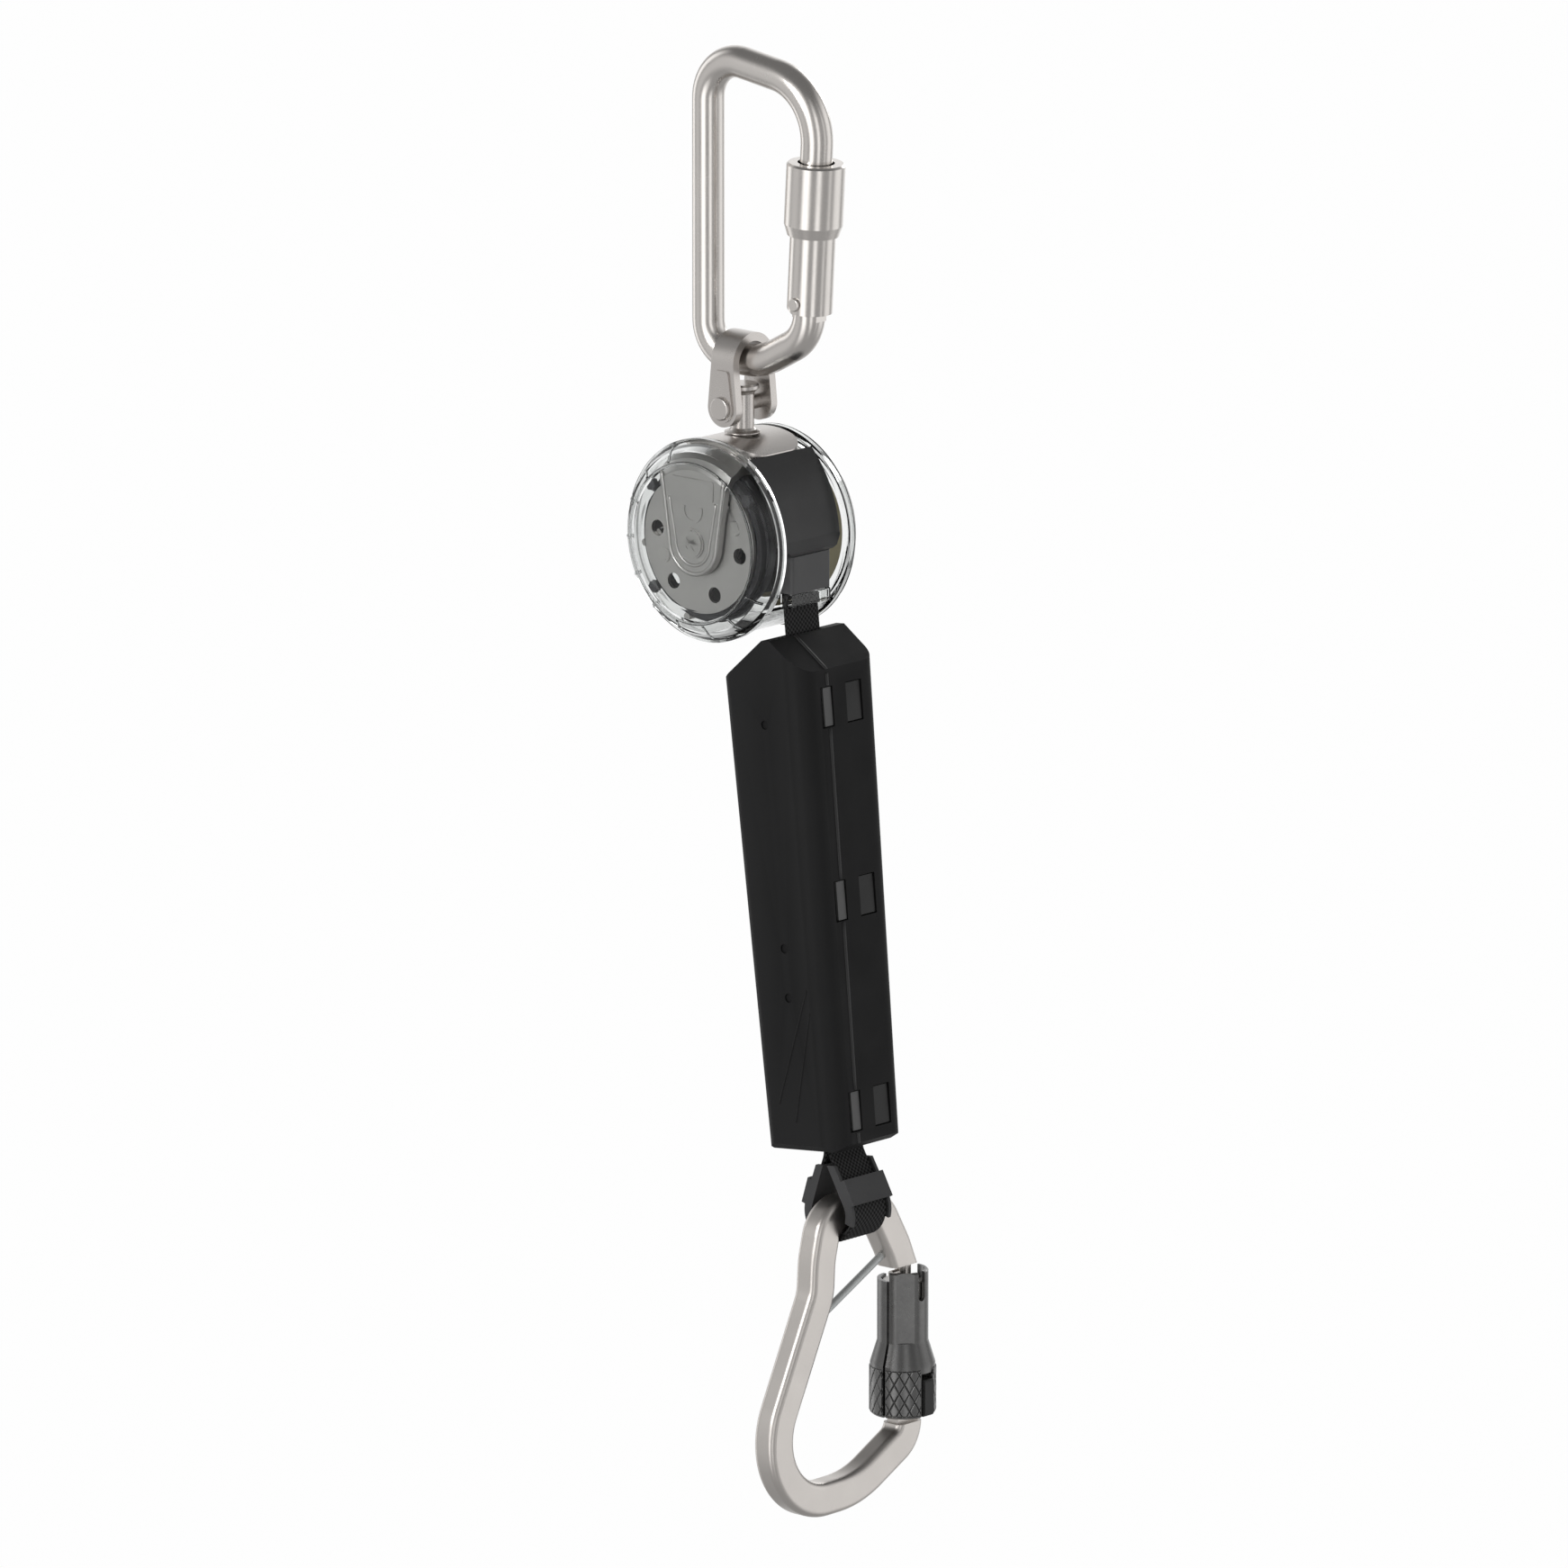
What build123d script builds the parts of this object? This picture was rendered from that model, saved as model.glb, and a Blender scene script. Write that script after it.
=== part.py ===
from build123d import *
import os
from math import atan2, cos, radians, sin

os.makedirs("parts", exist_ok=True)

# A personal self retracting lifeline: twist lock carabiner, swivel, clear drum housing, webbing,
# energy absorber in a clipped case, and a captive harness carabiner. Millimetres, +Z up, origin
# at the seat of the upper carabiner's bow, where the anchor holds the whole assembly.

GAP = 0.3                 # free space between curved faces of different moving bodies
FIT = 0.05                # radial clearance of a pin or shaft in its hole

# Upper carabiner, in the XZ plane
BAR_R = 5.5
SPINE_X = -15.5
BOW_CORNER_Z = 7.75       # where the spine line meets the bow line
FOOT_Z = -96.4            # centre of the bottom bar
GATE_TOP = Vector(33.4, 0, -24.5)
GATE_LEAN = 3.33          # degrees, the gate's foot is nearer the spine
GATE_LENGTH = 51.6
GATE_PIVOT_DOWN = 48.1
GATE_R = 7.75
CORE_R = 6.0
SLEEVE_R = 10.0
SLEEVE_LENGTH = 25.0

# Shackle and swivel
PIN_Z = -112.0
SHACKLE_ARC_Z = -96.9
SHACKLE_HALF = 10.3
SHACKLE_INNER = 7.3
PIN_R = 2.5
STUD_R = 4.0

# Drum housing, drum axis along Y
DRUM_Z = -156.2
RIM_R = 35.0
WALL_R = 33.5
WALL = 1.9
PLATE_R = 34.4            # outside of the domed top plate
FRAME_R = 31.3            # outside of the load frame's top
FRAME_FRONT = -24.6
FRAME_BACK = 22.6
SHAFT_R = 4.0
HUB_R = 9.0
ROLL_R = 24.1
FLANGE_R = 25.0
WEB_HALF = 8.5
WEB_T = 1.2
DISC_R = 24.5
PAWL_PIVOT_R = 17.0
PAWL_PHASE = 23.0         # degrees
TEETH = 12
TOOTH_TIP_R = 22.8
TOOTH_ROOT_R = 24.6

# Line below the housing
EXIT = Vector(26.3, 0, -177.0)
CHAIN_LEAN = 6.0          # degrees from the vertical, towards +X
CASE_TOP = 10.0           # distances along the line from the exit
CASE_SHOULDER = 24.5
CASE_BOTTOM = 186.0
CASE_OFFSET = -3.5
CASE_WIDTH = 37.0
CASE_DEPTH = 38.0
CASE_TAPER = 0.89
SEAM_Y = -6.6
LATCH_ROWS = (34.0, 100.5, 173.0)
BOW_DOWN = 208.7

# Lower carabiner, in a YZ plane
LOWER_X = 48.1
LOWER_WIDTH = 12.0
LOWER_THICK = 9.0
LOWER_GATE_Y = 28.1
LOWER_PIVOT_Z = -457.0
LOWER_SLEEVE_TOP = -410.8
LOWER_SLEEVE_BOTTOM = -461.5
LOWER_BORE = 7.5
LOWER_CORE = 7.2
LOWER_NECK_R = 2.8


def save(piece, name):
    """Label a finished piece and write it."""
    piece.part.label = name
    export_step(piece.part, "parts/" + name + ".step")


def outline(points, plane):
    """A closed polygon in a plane."""
    with BuildSketch(plane) as shape:
        with BuildLine():
            Polyline(*points, close=True)
        make_face()
    return shape.sketch


def turned(points, plane, mode=Mode.ADD):
    """Revolve (radius, height) points about the plane's own upright axis."""
    revolve(outline(points, plane), axis=Axis(plane.origin, plane.y_dir), mode=mode)


def bar(plane, radius, length, mode=Mode.ADD):
    """A round bar from the plane's origin along its normal."""
    with BuildSketch(plane) as disc:
        Circle(radius)
    extrude(disc.sketch, amount=length, mode=mode)


def block(plane, x_range, y_range, depth, mode=Mode.ADD):
    """A box over a rectangle of a plane, reaching depth both ways along its normal."""
    (x_low, x_high), (y_low, y_high) = x_range, y_range
    corners = [(x_low, y_low), (x_high, y_low), (x_high, y_high), (x_low, y_high)]
    extrude(outline(corners, plane), amount=depth, both=True, mode=mode)


def coil(plane, radius, wire, turns, length):
    """A compression spring standing on a plane."""
    with BuildLine() as route:
        Helix(pitch=length / turns, height=length, radius=radius, center=plane.origin, direction=plane.z_dir)
    start = route.line @ 0
    with BuildSketch(Plane(origin=start, z_dir=route.line % 0)) as section:
        Circle(wire)
    sweep(section.sketch, path=route.line)


# ---------------------------------------------------------------- upper carabiner
lean = radians(GATE_LEAN)
gate_up = Vector(sin(lean), 0, cos(lean))
gate_across = Vector(cos(lean), 0, -sin(lean))
gate_face = Plane(origin=GATE_TOP, x_dir=gate_across, z_dir=(0, -1, 0))


def on_gate(down):
    """The point on the upper gate's axis, measured down from the sleeve's top."""
    return GATE_TOP - gate_up * down


def gate_pivot_plane(y):
    """A plane across the upper rivet at a given Y, facing the front."""
    return Plane(origin=on_gate(GATE_PIVOT_DOWN) + Vector(0, y, 0), x_dir=gate_across, z_dir=(0, -1, 0))


RIVET_R = 1.6
TANG_HALF = 2.5
SHOULDER = 52.2           # where the round bar begins below the gate
NOSE_LENGTH = 3.0
NOSE_END_R = 1.9

with BuildPart() as upper_carabiner_body:
    corner_hinge = on_gate(60.6)
    corner_bow = on_gate(-24.9)
    with BuildLine() as bar_route:
        FilletPolyline(
            on_gate(SHOULDER),
            corner_hinge,
            (9.0, 0, FOOT_Z),
            (SPINE_X, 0, FOOT_Z),
            (SPINE_X, 0, BOW_CORNER_Z),
            corner_bow,
            on_gate(0),
            radius=[14, 28, 12, 14, 21],
        )
    with BuildSketch(Plane(origin=on_gate(SHOULDER), z_dir=-gate_up)):
        Circle(BAR_R)
    sweep(path=bar_route.line)
    turned([(0, 1), (BAR_R - 0.1, 1), (BAR_R - 0.1, 0), (NOSE_END_R, -NOSE_LENGTH), (0, -NOSE_LENGTH)],
           gate_face)
    hook = outline([(-1.9, -2.5), (1.9, -2.5), (-0.9, -5.6), (-1.9, -5.6)], gate_face)
    extrude(hook, amount=1.4, both=True)
    with BuildSketch(gate_pivot_plane(0)) as tang:
        Circle(BAR_R)
        with Locations((0, -3)):
            Rectangle(2 * BAR_R, 6)
    extrude(tang.sketch, amount=TANG_HALF, both=True)
    bar(gate_pivot_plane(10), RIVET_R + FIT, 20, Mode.SUBTRACT)
save(upper_carabiner_body, "upper_carabiner_body")

with BuildPart() as upper_gate:
    core_top = -3.6
    step = -23.0
    turned([(0, core_top), (CORE_R - 1, core_top), (CORE_R, core_top - 1), (CORE_R, step),
            (GATE_R, step - 0.6), (GATE_R, -GATE_LENGTH), (0, -GATE_LENGTH)], gate_face)
    block(gate_face, (-2.6, 9), (-6.6, core_top + 1), 1.8, Mode.SUBTRACT)
    block(gate_face, (-9, BAR_R + 0.7), (-GATE_LENGTH - 1, -41.6), TANG_HALF + 0.15, Mode.SUBTRACT)
    relief = outline([(-1.0, -GATE_LENGTH - 0.1), (-9, -GATE_LENGTH - 0.1), (-9, -48.7)], gate_face)
    extrude(relief, amount=GATE_R + 1, both=True, mode=Mode.SUBTRACT)
    bar(gate_pivot_plane(10), RIVET_R + FIT, 20, Mode.SUBTRACT)
    bar(Plane(origin=on_gate(42), z_dir=gate_up), 2.4, 14, Mode.SUBTRACT)
save(upper_gate, "upper_gate")

with BuildPart() as upper_gate_plunger:
    bar(Plane(origin=on_gate(42.35), z_dir=gate_up), 2.2, 3.4)
    fillet(upper_gate_plunger.edges().group_by(Axis.Z)[0], 0.6)
save(upper_gate_plunger, "upper_gate_plunger")

with BuildPart() as upper_gate_spring:
    coil(Plane(origin=on_gate(38.3), z_dir=gate_up), 1.6, 0.35, 7, 9.4)
save(upper_gate_spring, "upper_gate_spring")

with BuildPart() as upper_gate_rivet:
    head = 0.9
    bar(gate_pivot_plane(GATE_R + 0.1), RIVET_R, 2 * GATE_R + 0.2)
    bar(gate_pivot_plane(GATE_R + 0.1 + head), 2.3, head)
    bar(gate_pivot_plane(-GATE_R - 0.1), 2.3, head)
    rims = upper_gate_rivet.edges().group_by(Axis.Y)
    fillet(rims[0] + rims[-1], 0.5)
save(upper_gate_rivet, "upper_gate_rivet")

with BuildPart() as upper_sleeve:
    lip = 2.2
    bore = GATE_R + GAP
    turned([(CORE_R + GAP, 0), (SLEEVE_R - 0.7, 0), (SLEEVE_R, -0.7), (SLEEVE_R, -21.3),
            (8.8, -SLEEVE_LENGTH), (bore, -SLEEVE_LENGTH), (bore, -lip), (CORE_R + GAP, -lip)], gate_face)
save(upper_sleeve, "upper_sleeve")

with BuildPart() as upper_sleeve_spring:
    coil(Plane(origin=on_gate(22.2), z_dir=gate_up), 7.1, 0.5, 7, 19.2)
save(upper_sleeve_spring, "upper_sleeve_spring")

# ---------------------------------------------------------------- shackle and swivel
LEG_END_R = 6.5
LEG_TOP_HALF = 5.0


def shackle_plane(y):
    """A plane across the shackle pin at a given Y, facing the front."""
    return Plane(origin=(0, y, PIN_Z), x_dir=(1, 0, 0), z_dir=(0, -1, 0))


with BuildPart() as shackle:
    with BuildSketch(Plane.YZ):
        with Locations((0, SHACKLE_ARC_Z)):
            Circle(SHACKLE_HALF)
            Circle(SHACKLE_INNER, mode=Mode.SUBTRACT)
        leg_y = (SHACKLE_HALF + SHACKLE_INNER) / 2
        leg_z = (SHACKLE_ARC_Z + PIN_Z - LEG_END_R) / 2
        with Locations((-leg_y, leg_z), (leg_y, leg_z)):
            Rectangle(SHACKLE_HALF - SHACKLE_INNER, SHACKLE_ARC_Z - PIN_Z + LEG_END_R)
        with Locations((0, SHACKLE_ARC_Z - SHACKLE_HALF / 2)):
            Rectangle(2 * SHACKLE_INNER, SHACKLE_HALF, mode=Mode.SUBTRACT)
    extrude(amount=LEG_END_R, both=True)
    with BuildSketch(shackle_plane(20)) as leg_shape:
        Circle(LEG_END_R)
        with BuildLine():
            Polyline((-6.4, 1.2), (6.4, 1.2), (LEG_TOP_HALF, 15), (LEG_TOP_HALF, 30), (-LEG_TOP_HALF, 30),
                     (-LEG_TOP_HALF, 15), close=True)
        make_face()
    extrude(leg_shape.sketch, amount=40, mode=Mode.INTERSECT)
    for face_y, reach in ((-SHACKLE_HALF, 0.6), (SHACKLE_HALF, -0.6)):
        with BuildSketch(shackle_plane(face_y)) as rib:
            Circle(4.9)
            with BuildLine():
                Polyline((-4.6, 1.5), (4.6, 1.5), (3.1, 12), (2.4, 13), (-2.4, 13), (-3.1, 12), close=True)
            make_face()
        extrude(rib.sketch, amount=reach)
    bar(shackle_plane(20), PIN_R + 0.02, 40, Mode.SUBTRACT)
save(shackle, "shackle")

with BuildPart() as shackle_pin:
    rib_face = SHACKLE_HALF + 0.65
    bar(shackle_plane(rib_face), PIN_R, 2 * rib_face)
    bar(shackle_plane(-rib_face), 4.0, 1.2)
    bar(shackle_plane(rib_face + 1.0), 3.6, 1.0)
    rims = shackle_pin.edges().group_by(Axis.Y)
    fillet(rims[0] + rims[-1], 0.6)
save(shackle_pin, "shackle_pin")

PLATE_TOP = DRUM_Z + PLATE_R
FRAME_UNDER = DRUM_Z + FRAME_R - 2.6
upright = Plane.XZ

with BuildPart() as swivel_stud:
    turned([(0, -104.7), (5.0, -104.7), (5.6, -105.3), (5.6, -106.4), (4.4, -107.4), (STUD_R, -108.2),
            (STUD_R, PLATE_TOP + 2.0), (4.6, PLATE_TOP + 1.2), (6.2, PLATE_TOP + 0.6), (6.2, PLATE_TOP + 0.3),
            (STUD_R - FIT, PLATE_TOP + 0.3), (STUD_R - FIT, FRAME_UNDER - 3.7),
            (STUD_R - 0.5, FRAME_UNDER - 4.2), (0, FRAME_UNDER - 4.2)], upright)
    bar(shackle_plane(20), PIN_R + FIT, 40, Mode.SUBTRACT)
save(swivel_stud, "swivel_stud")

with BuildPart() as swivel_washer:
    turned([(STUD_R, FRAME_UNDER - 0.65), (5.6, FRAME_UNDER - 0.65), (5.6, FRAME_UNDER - 1.35),
            (STUD_R, FRAME_UNDER - 1.35)], upright)
save(swivel_washer, "swivel_washer")

with BuildPart() as swivel_nut:
    with BuildSketch(Plane.XY.offset(FRAME_UNDER - 4.2)):
        RegularPolygon(5.8, 6)
        Circle(STUD_R, mode=Mode.SUBTRACT)
    extrude(amount=2.75)
save(swivel_nut, "swivel_nut")


# ---------------------------------------------------------------- drum housing
def drum_plane(y):
    """A plane across the drum axis at a given Y, facing the front."""
    return Plane(origin=(0, y, DRUM_Z), x_dir=(1, 0, 0), z_dir=(0, -1, 0))


# a plane whose first coordinate is the radius and whose upright axis is the drum axis
drum_profile = Plane(origin=(0, 0, DRUM_Z), x_dir=(1, 0, 0), z_dir=(0, 0, 1))


def ring(outer, inner, y_low, y_high, mode=Mode.ADD):
    """A ring or disc about the drum axis."""
    with BuildSketch(drum_plane(y_high)) as face:
        Circle(outer)
        if inner:
            Circle(inner, mode=Mode.SUBTRACT)
    extrude(face.sketch, amount=y_high - y_low, mode=mode)


with BuildPart() as load_frame:
    turned([(0, FRAME_FRONT), (25, FRAME_FRONT), (28.5, -22.4), (FRAME_R, -17), (FRAME_R, 16.5), (30.4, 20.4),
            (28.4, FRAME_BACK), (0, FRAME_BACK)], drum_profile)
    inner_r = FRAME_R - 2.6
    turned([(0, -22.2), (24.2, -22.2), (26.9, -20.4), (inner_r, -16.4), (inner_r, 16), (28.2, 19.4),
            (27.4, 20.4), (0, 20.4)], drum_profile, Mode.SUBTRACT)
    with BuildSketch(drum_plane(30)) as tongue:
        Circle(11.4)
        with Locations((0, 29)):
            Rectangle(31, 8)
        make_hull()
    extrude(tongue.sketch, amount=60, mode=Mode.INTERSECT)
    ring(5.2, None, FRAME_FRONT - 0.5, FRAME_FRONT)
    with BuildSketch(drum_plane(FRAME_FRONT + 0.6)) as marks:
        with Locations((0, 11.5)):
            Circle(4.6)
            Circle(3.5, mode=Mode.SUBTRACT)
        with Locations((0, 14.4)):
            Rectangle(10, 3.4, mode=Mode.SUBTRACT)
        with Locations((0, 18.8)):
            RectangleRounded(19, 7, 0.8)
    extrude(marks.sketch, amount=0.9)
    ring(SHAFT_R + 0.02, None, -40, 40, Mode.SUBTRACT)
    bar(Plane(origin=(0, 0, DRUM_Z + 20), z_dir=(0, 0, 1)), STUD_R, 30, Mode.SUBTRACT)
save(load_frame, "load_frame")

with BuildPart() as top_plate:
    ring(PLATE_R, FRAME_R + 0.1, -14.6, 14.6)
    with BuildSketch(Plane.XY.offset(DRUM_Z)) as plan:
        RectangleRounded(34, 29.2, 9)
    extrude(plan.sketch, amount=60, mode=Mode.INTERSECT)
    bar(Plane(origin=(0, 0, DRUM_Z + 20), z_dir=(0, 0, 1)), STUD_R, 30, Mode.SUBTRACT)
save(top_plate, "top_plate")

COVER_PARTING = 0.1
SCREW_ANGLES = (130, 190, 250)
SCREW_CIRCLE = 29.8
SCREW_R = 1.3


def cover_openings():
    """Cut the windows for the top plate, the side band and the webbing out of a cover."""
    block(Plane(origin=(0, 0, DRUM_Z), x_dir=(1, 0, 0), z_dir=(0, -1, 0)), (-17.2, 17.2), (20, 40), 14.8,
          Mode.SUBTRACT)
    block(Plane(origin=(0, 0, DRUM_Z), x_dir=(1, 0, 0), z_dir=(0, -1, 0)), (16.6, 40), (-21.5, 29.9), 16.2,
          Mode.SUBTRACT)
    for angle in SCREW_ANGLES:
        spot = Plane(origin=(0, 30, DRUM_Z), x_dir=(1, 0, 0), z_dir=(0, -1, 0))
        turn = radians(angle)
        centre = spot.from_local_coords((SCREW_CIRCLE * cos(turn), SCREW_CIRCLE * sin(turn), 0))
        bar(Plane(origin=centre, z_dir=(0, -1, 0)), SCREW_R + 0.1, 46, Mode.SUBTRACT)


with BuildPart() as front_cover:
    turned([(0, -27.3), (23, -27.1), (27.5, -26.2), (31.5, -23.4), (34, -19.8), (RIM_R, -19.2),
            (RIM_R, -16.6), (WALL_R, -15.6), (WALL_R, -COVER_PARTING), (WALL_R - WALL, -COVER_PARTING),
            (WALL_R - WALL, -17.2), (30.3, -21.6), (26.6, -24.5), (22.8, -25.3), (0, -25.5)], drum_profile)
    cover_openings()
save(front_cover, "front_cover")

with BuildPart() as rear_cover:
    turned([(0, 24.7), (27, 24.7), (30.6, 23.4), (32.8, 20.0), (34.6, 18.6), (34.6, 16.4), (WALL_R, 15.6),
            (WALL_R, COVER_PARTING), (WALL_R - WALL, COVER_PARTING), (WALL_R - WALL, 17.0), (30.9, 20.8),
            (29.2, 22.6), (26.6, 22.9), (0, 22.9)], drum_profile)
    cover_openings()
save(rear_cover, "rear_cover")

with BuildPart() as cover_screws:
    for angle in SCREW_ANGLES:
        x = SCREW_CIRCLE * cos(radians(angle))
        z = DRUM_Z + SCREW_CIRCLE * sin(radians(angle))
        bar(Plane(origin=(x, 24.9, z), z_dir=(0, -1, 0)), SCREW_R, 41.3)
        bar(Plane(origin=(x, 25.6, z), z_dir=(0, -1, 0)), 2.5, 0.85)
save(cover_screws, "cover_screws")

POST_CIRCLE = 27.3
with BuildPart() as cover_posts:
    for angle in (38, 142, 222):
        x = POST_CIRCLE * cos(radians(angle))
        z = POST_CIRCLE * sin(radians(angle))
        with BuildSketch(drum_plane(-20.1)) as post:
            with Locations((x, z)):
                RegularPolygon(2.2, 6)
        extrude(post.sketch, amount=1.9)
save(cover_posts, "cover_posts")

BAND_HALF = 15.9
NOZZLE_HALF = 9.8
NOZZLE_FACE = 31.4
with BuildPart() as side_band:
    with BuildSketch(drum_plane(0)) as band_side:
        with BuildLine():
            ThreePointArc((17.0, 29.5), (26.1, 17.2), (30.7, 2.2))
            Polyline((30.7, 2.2), (32.4, -1.6), (31.6, -2.7), (29.4, -2.7), (28.7, 2.0))
            ThreePointArc((28.7, 2.0), (24.4, 16.0), (17.0, 26.6))
            Line((17.0, 26.6), (17.0, 29.5))
        make_face()
    extrude(band_side.sketch, amount=BAND_HALF, both=True)
    with BuildSketch(Plane(origin=(0, 0, DRUM_Z), x_dir=(0, 1, 0), z_dir=(1, 0, 0))) as band_face:
        with BuildLine():
            Polyline((-BAND_HALF, 30), (BAND_HALF, 30), (14.9, 1.5), (NOZZLE_HALF + 0.6, -2.8),
                     (-NOZZLE_HALF - 0.6, -2.8), (-14.9, 1.5), close=True)
        make_face()
    extrude(band_face.sketch, amount=40, mode=Mode.INTERSECT)
save(side_band, "side_band")

with BuildPart() as web_nozzle:
    section_plane = Plane(origin=(0, 0, DRUM_Z - 15.8), x_dir=(1, 0, 0), z_dir=(0, 0, 1))
    block(section_plane.offset(6.4), (27.4, NOZZLE_FACE), (-NOZZLE_HALF, NOZZLE_HALF), 6.4)
    block(section_plane.offset(6.4), (25.5, 27.5), (-NOZZLE_HALF, -9.0), 6.4)
    block(section_plane.offset(6.4), (25.5, 27.5), (9.0, NOZZLE_HALF), 6.4)
    block(section_plane.offset(6.4), (27.0, 29.9), (-9.0, 9.0), 8, Mode.SUBTRACT)
    fillet(web_nozzle.edges().filter_by(Axis.Z).group_by(Axis.X)[-1], 1.2)
save(web_nozzle, "web_nozzle")

with BuildPart() as exit_guard:
    block(section_plane.offset(-2.6), (28.9, NOZZLE_FACE - 0.2), (-NOZZLE_HALF, NOZZLE_HALF), 2.3)
    block(section_plane.offset(-2.6), (26.2, 29.0), (-NOZZLE_HALF, -9.0), 2.3)
    block(section_plane.offset(-2.6), (26.2, 29.0), (9.0, NOZZLE_HALF), 2.3)
    fillet(exit_guard.edges().filter_by(Axis.Y).group_by(Axis.X)[-1], 0.9)
save(exit_guard, "exit_guard")

with BuildPart() as drum_shaft:
    ring(SHAFT_R, None, FRAME_FRONT, FRAME_BACK)
    ring(2.2, None, FRAME_FRONT - 1, FRAME_BACK + 1, Mode.SUBTRACT)
save(drum_shaft, "drum_shaft")

with BuildPart() as shaft_screw:
    ring(4.6, None, FRAME_FRONT - 0.85, FRAME_FRONT - 0.52)
    ring(2.15, None, FRAME_FRONT - 0.6, FRAME_FRONT + 9)
    for turn in (0, 90):
        with BuildSketch(drum_plane(FRAME_FRONT - 0.7)) as slot:
            Rectangle(5.4, 1.1, rotation=turn + 40)
        extrude(slot.sketch, amount=1, mode=Mode.SUBTRACT)
save(shaft_screw, "shaft_screw")

RING_R = 26.6
RING_SHOULDER_R = 28.1
RATCHET_FRONT = -19.7
RATCHET_STEP = -17.3
RATCHET_BACK = -13.5
with BuildPart() as ratchet_ring:
    with BuildSketch(drum_plane(RATCHET_BACK)):
        Circle(RING_R)
        Circle(TOOTH_ROOT_R, mode=Mode.SUBTRACT)
        with PolarLocations((TOOTH_TIP_R + TOOTH_ROOT_R + 0.3) / 2, TEETH, start_angle=PAWL_PHASE + 1):
            Rectangle(TOOTH_ROOT_R - TOOTH_TIP_R + 0.3, 3.4)
    extrude(amount=RATCHET_BACK - RATCHET_FRONT)
    ring(RING_SHOULDER_R, RING_R - 0.5, RATCHET_STEP, RATCHET_BACK)
save(ratchet_ring, "ratchet_ring")

CASE_R = 27.2
with BuildPart() as spring_case:
    ring(CASE_R, None, 11.4, 20.2)
    ring(CASE_R - 1.4, None, 12.4, 19.2, Mode.SUBTRACT)
    ring(7.4, None, 11, 12.5, Mode.SUBTRACT)
    ring(SHAFT_R + 0.02, None, 19, 21, Mode.SUBTRACT)
save(spring_case, "spring_case")


def half_turn(radius, centre, side):
    """Half a circle about a centre on the X axis, over it or under it."""
    return ThreePointArc((centre - side * radius, 0), (centre, radius * side), (centre + side * radius, 0))


SPIRAL_START = 9.0
SPIRAL_PITCH = 2.6
SPIRAL_T = 0.8
SPIRAL_HALF_TURNS = 11
with BuildPart() as power_spring:
    with BuildSketch(drum_plane(18.6)):
        with BuildLine():
            for count in range(SPIRAL_HALF_TURNS):
                side = 1 if count % 2 == 0 else -1
                centre = 0 if count % 2 == 0 else -SPIRAL_PITCH / 2
                half_turn(SPIRAL_START + count * SPIRAL_PITCH / 2, centre, side)
            last = SPIRAL_START + (SPIRAL_HALF_TURNS - 1) * SPIRAL_PITCH / 2
            end_centre = 0 if SPIRAL_HALF_TURNS % 2 == 1 else -SPIRAL_PITCH / 2
            end_side = 1 if SPIRAL_HALF_TURNS % 2 == 1 else -1
            Line((end_centre + end_side * last, 0), (end_centre + end_side * (last + SPIRAL_T), 0))
            for count in range(SPIRAL_HALF_TURNS):
                side = 1 if count % 2 == 0 else -1
                centre = 0 if count % 2 == 0 else -SPIRAL_PITCH / 2
                half_turn(SPIRAL_START + SPIRAL_T + count * SPIRAL_PITCH / 2, centre, side)
            Line((-SPIRAL_START, 0), (-SPIRAL_START - SPIRAL_T, 0))
        make_face()
    extrude(amount=5.6)
save(power_spring, "power_spring")

# ---------------------------------------------------------------- drum
BUSH_R = 5.5
for name, y_low in (("front_bushing", -20.0), ("rear_bushing", 3.6)):
    with BuildPart() as bushing:
        ring(BUSH_R, SHAFT_R + FIT, y_low, y_low + 7)
    save(bushing, name)

with BuildPart() as drum_core:
    ring(HUB_R, BUSH_R + 0.02, -16.2, 10.8)
    ring(8.0, BUSH_R + 0.02, -20.0, -16.2)
    block(drum_plane(0), (4, 12), (-0.7, 0.7), WEB_HALF, Mode.SUBTRACT)
save(drum_core, "drum_core")

for name, y_low in (("drum_front_flange", -10.8), ("drum_rear_flange", 9.2)):
    with BuildPart() as flange:
        ring(FLANGE_R, HUB_R + 0.02, y_low, y_low + 1.6)
        with BuildSketch(drum_plane(y_low + 1.6)) as windows:
            with PolarLocations(17.5, 5):
                SlotOverall(10, 5, rotation=90)
        extrude(windows.sketch, amount=1.6, mode=Mode.SUBTRACT)
    save(flange, name)

with BuildPart() as web_roll:
    ring(ROLL_R, HUB_R + 0.05, -WEB_HALF, WEB_HALF)
save(web_roll, "web_roll")

with BuildPart() as web_anchor_pin:
    bar(Plane(origin=(7.2, WEB_HALF - 0.3, DRUM_Z), z_dir=(0, -1, 0)), 0.65, 2 * WEB_HALF - 0.6)
save(web_anchor_pin, "web_anchor_pin")

DISC_FRONT = -21.6
DISC_BACK = -20.0
with BuildPart() as pawl_disc:
    with BuildSketch(drum_plane(DISC_BACK)):
        Circle(DISC_R)
        Circle(SHAFT_R + GAP, mode=Mode.SUBTRACT)
        with PolarLocations(18.8, 6, start_angle=-7):
            Circle(2.75, mode=Mode.SUBTRACT)
        with PolarLocations(PAWL_PIVOT_R, 2, start_angle=PAWL_PHASE):
            Circle(1.5, mode=Mode.SUBTRACT)
    extrude(amount=DISC_BACK - DISC_FRONT)
save(pawl_disc, "pawl_disc")

with BuildPart() as spring_arbor:
    ring(7.0, SHAFT_R + GAP, 11.0, 18.9)
    block(drum_plane(16), (-7.8, -6.5), (-1, 1), 2.6)
save(spring_arbor, "spring_arbor")

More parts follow.
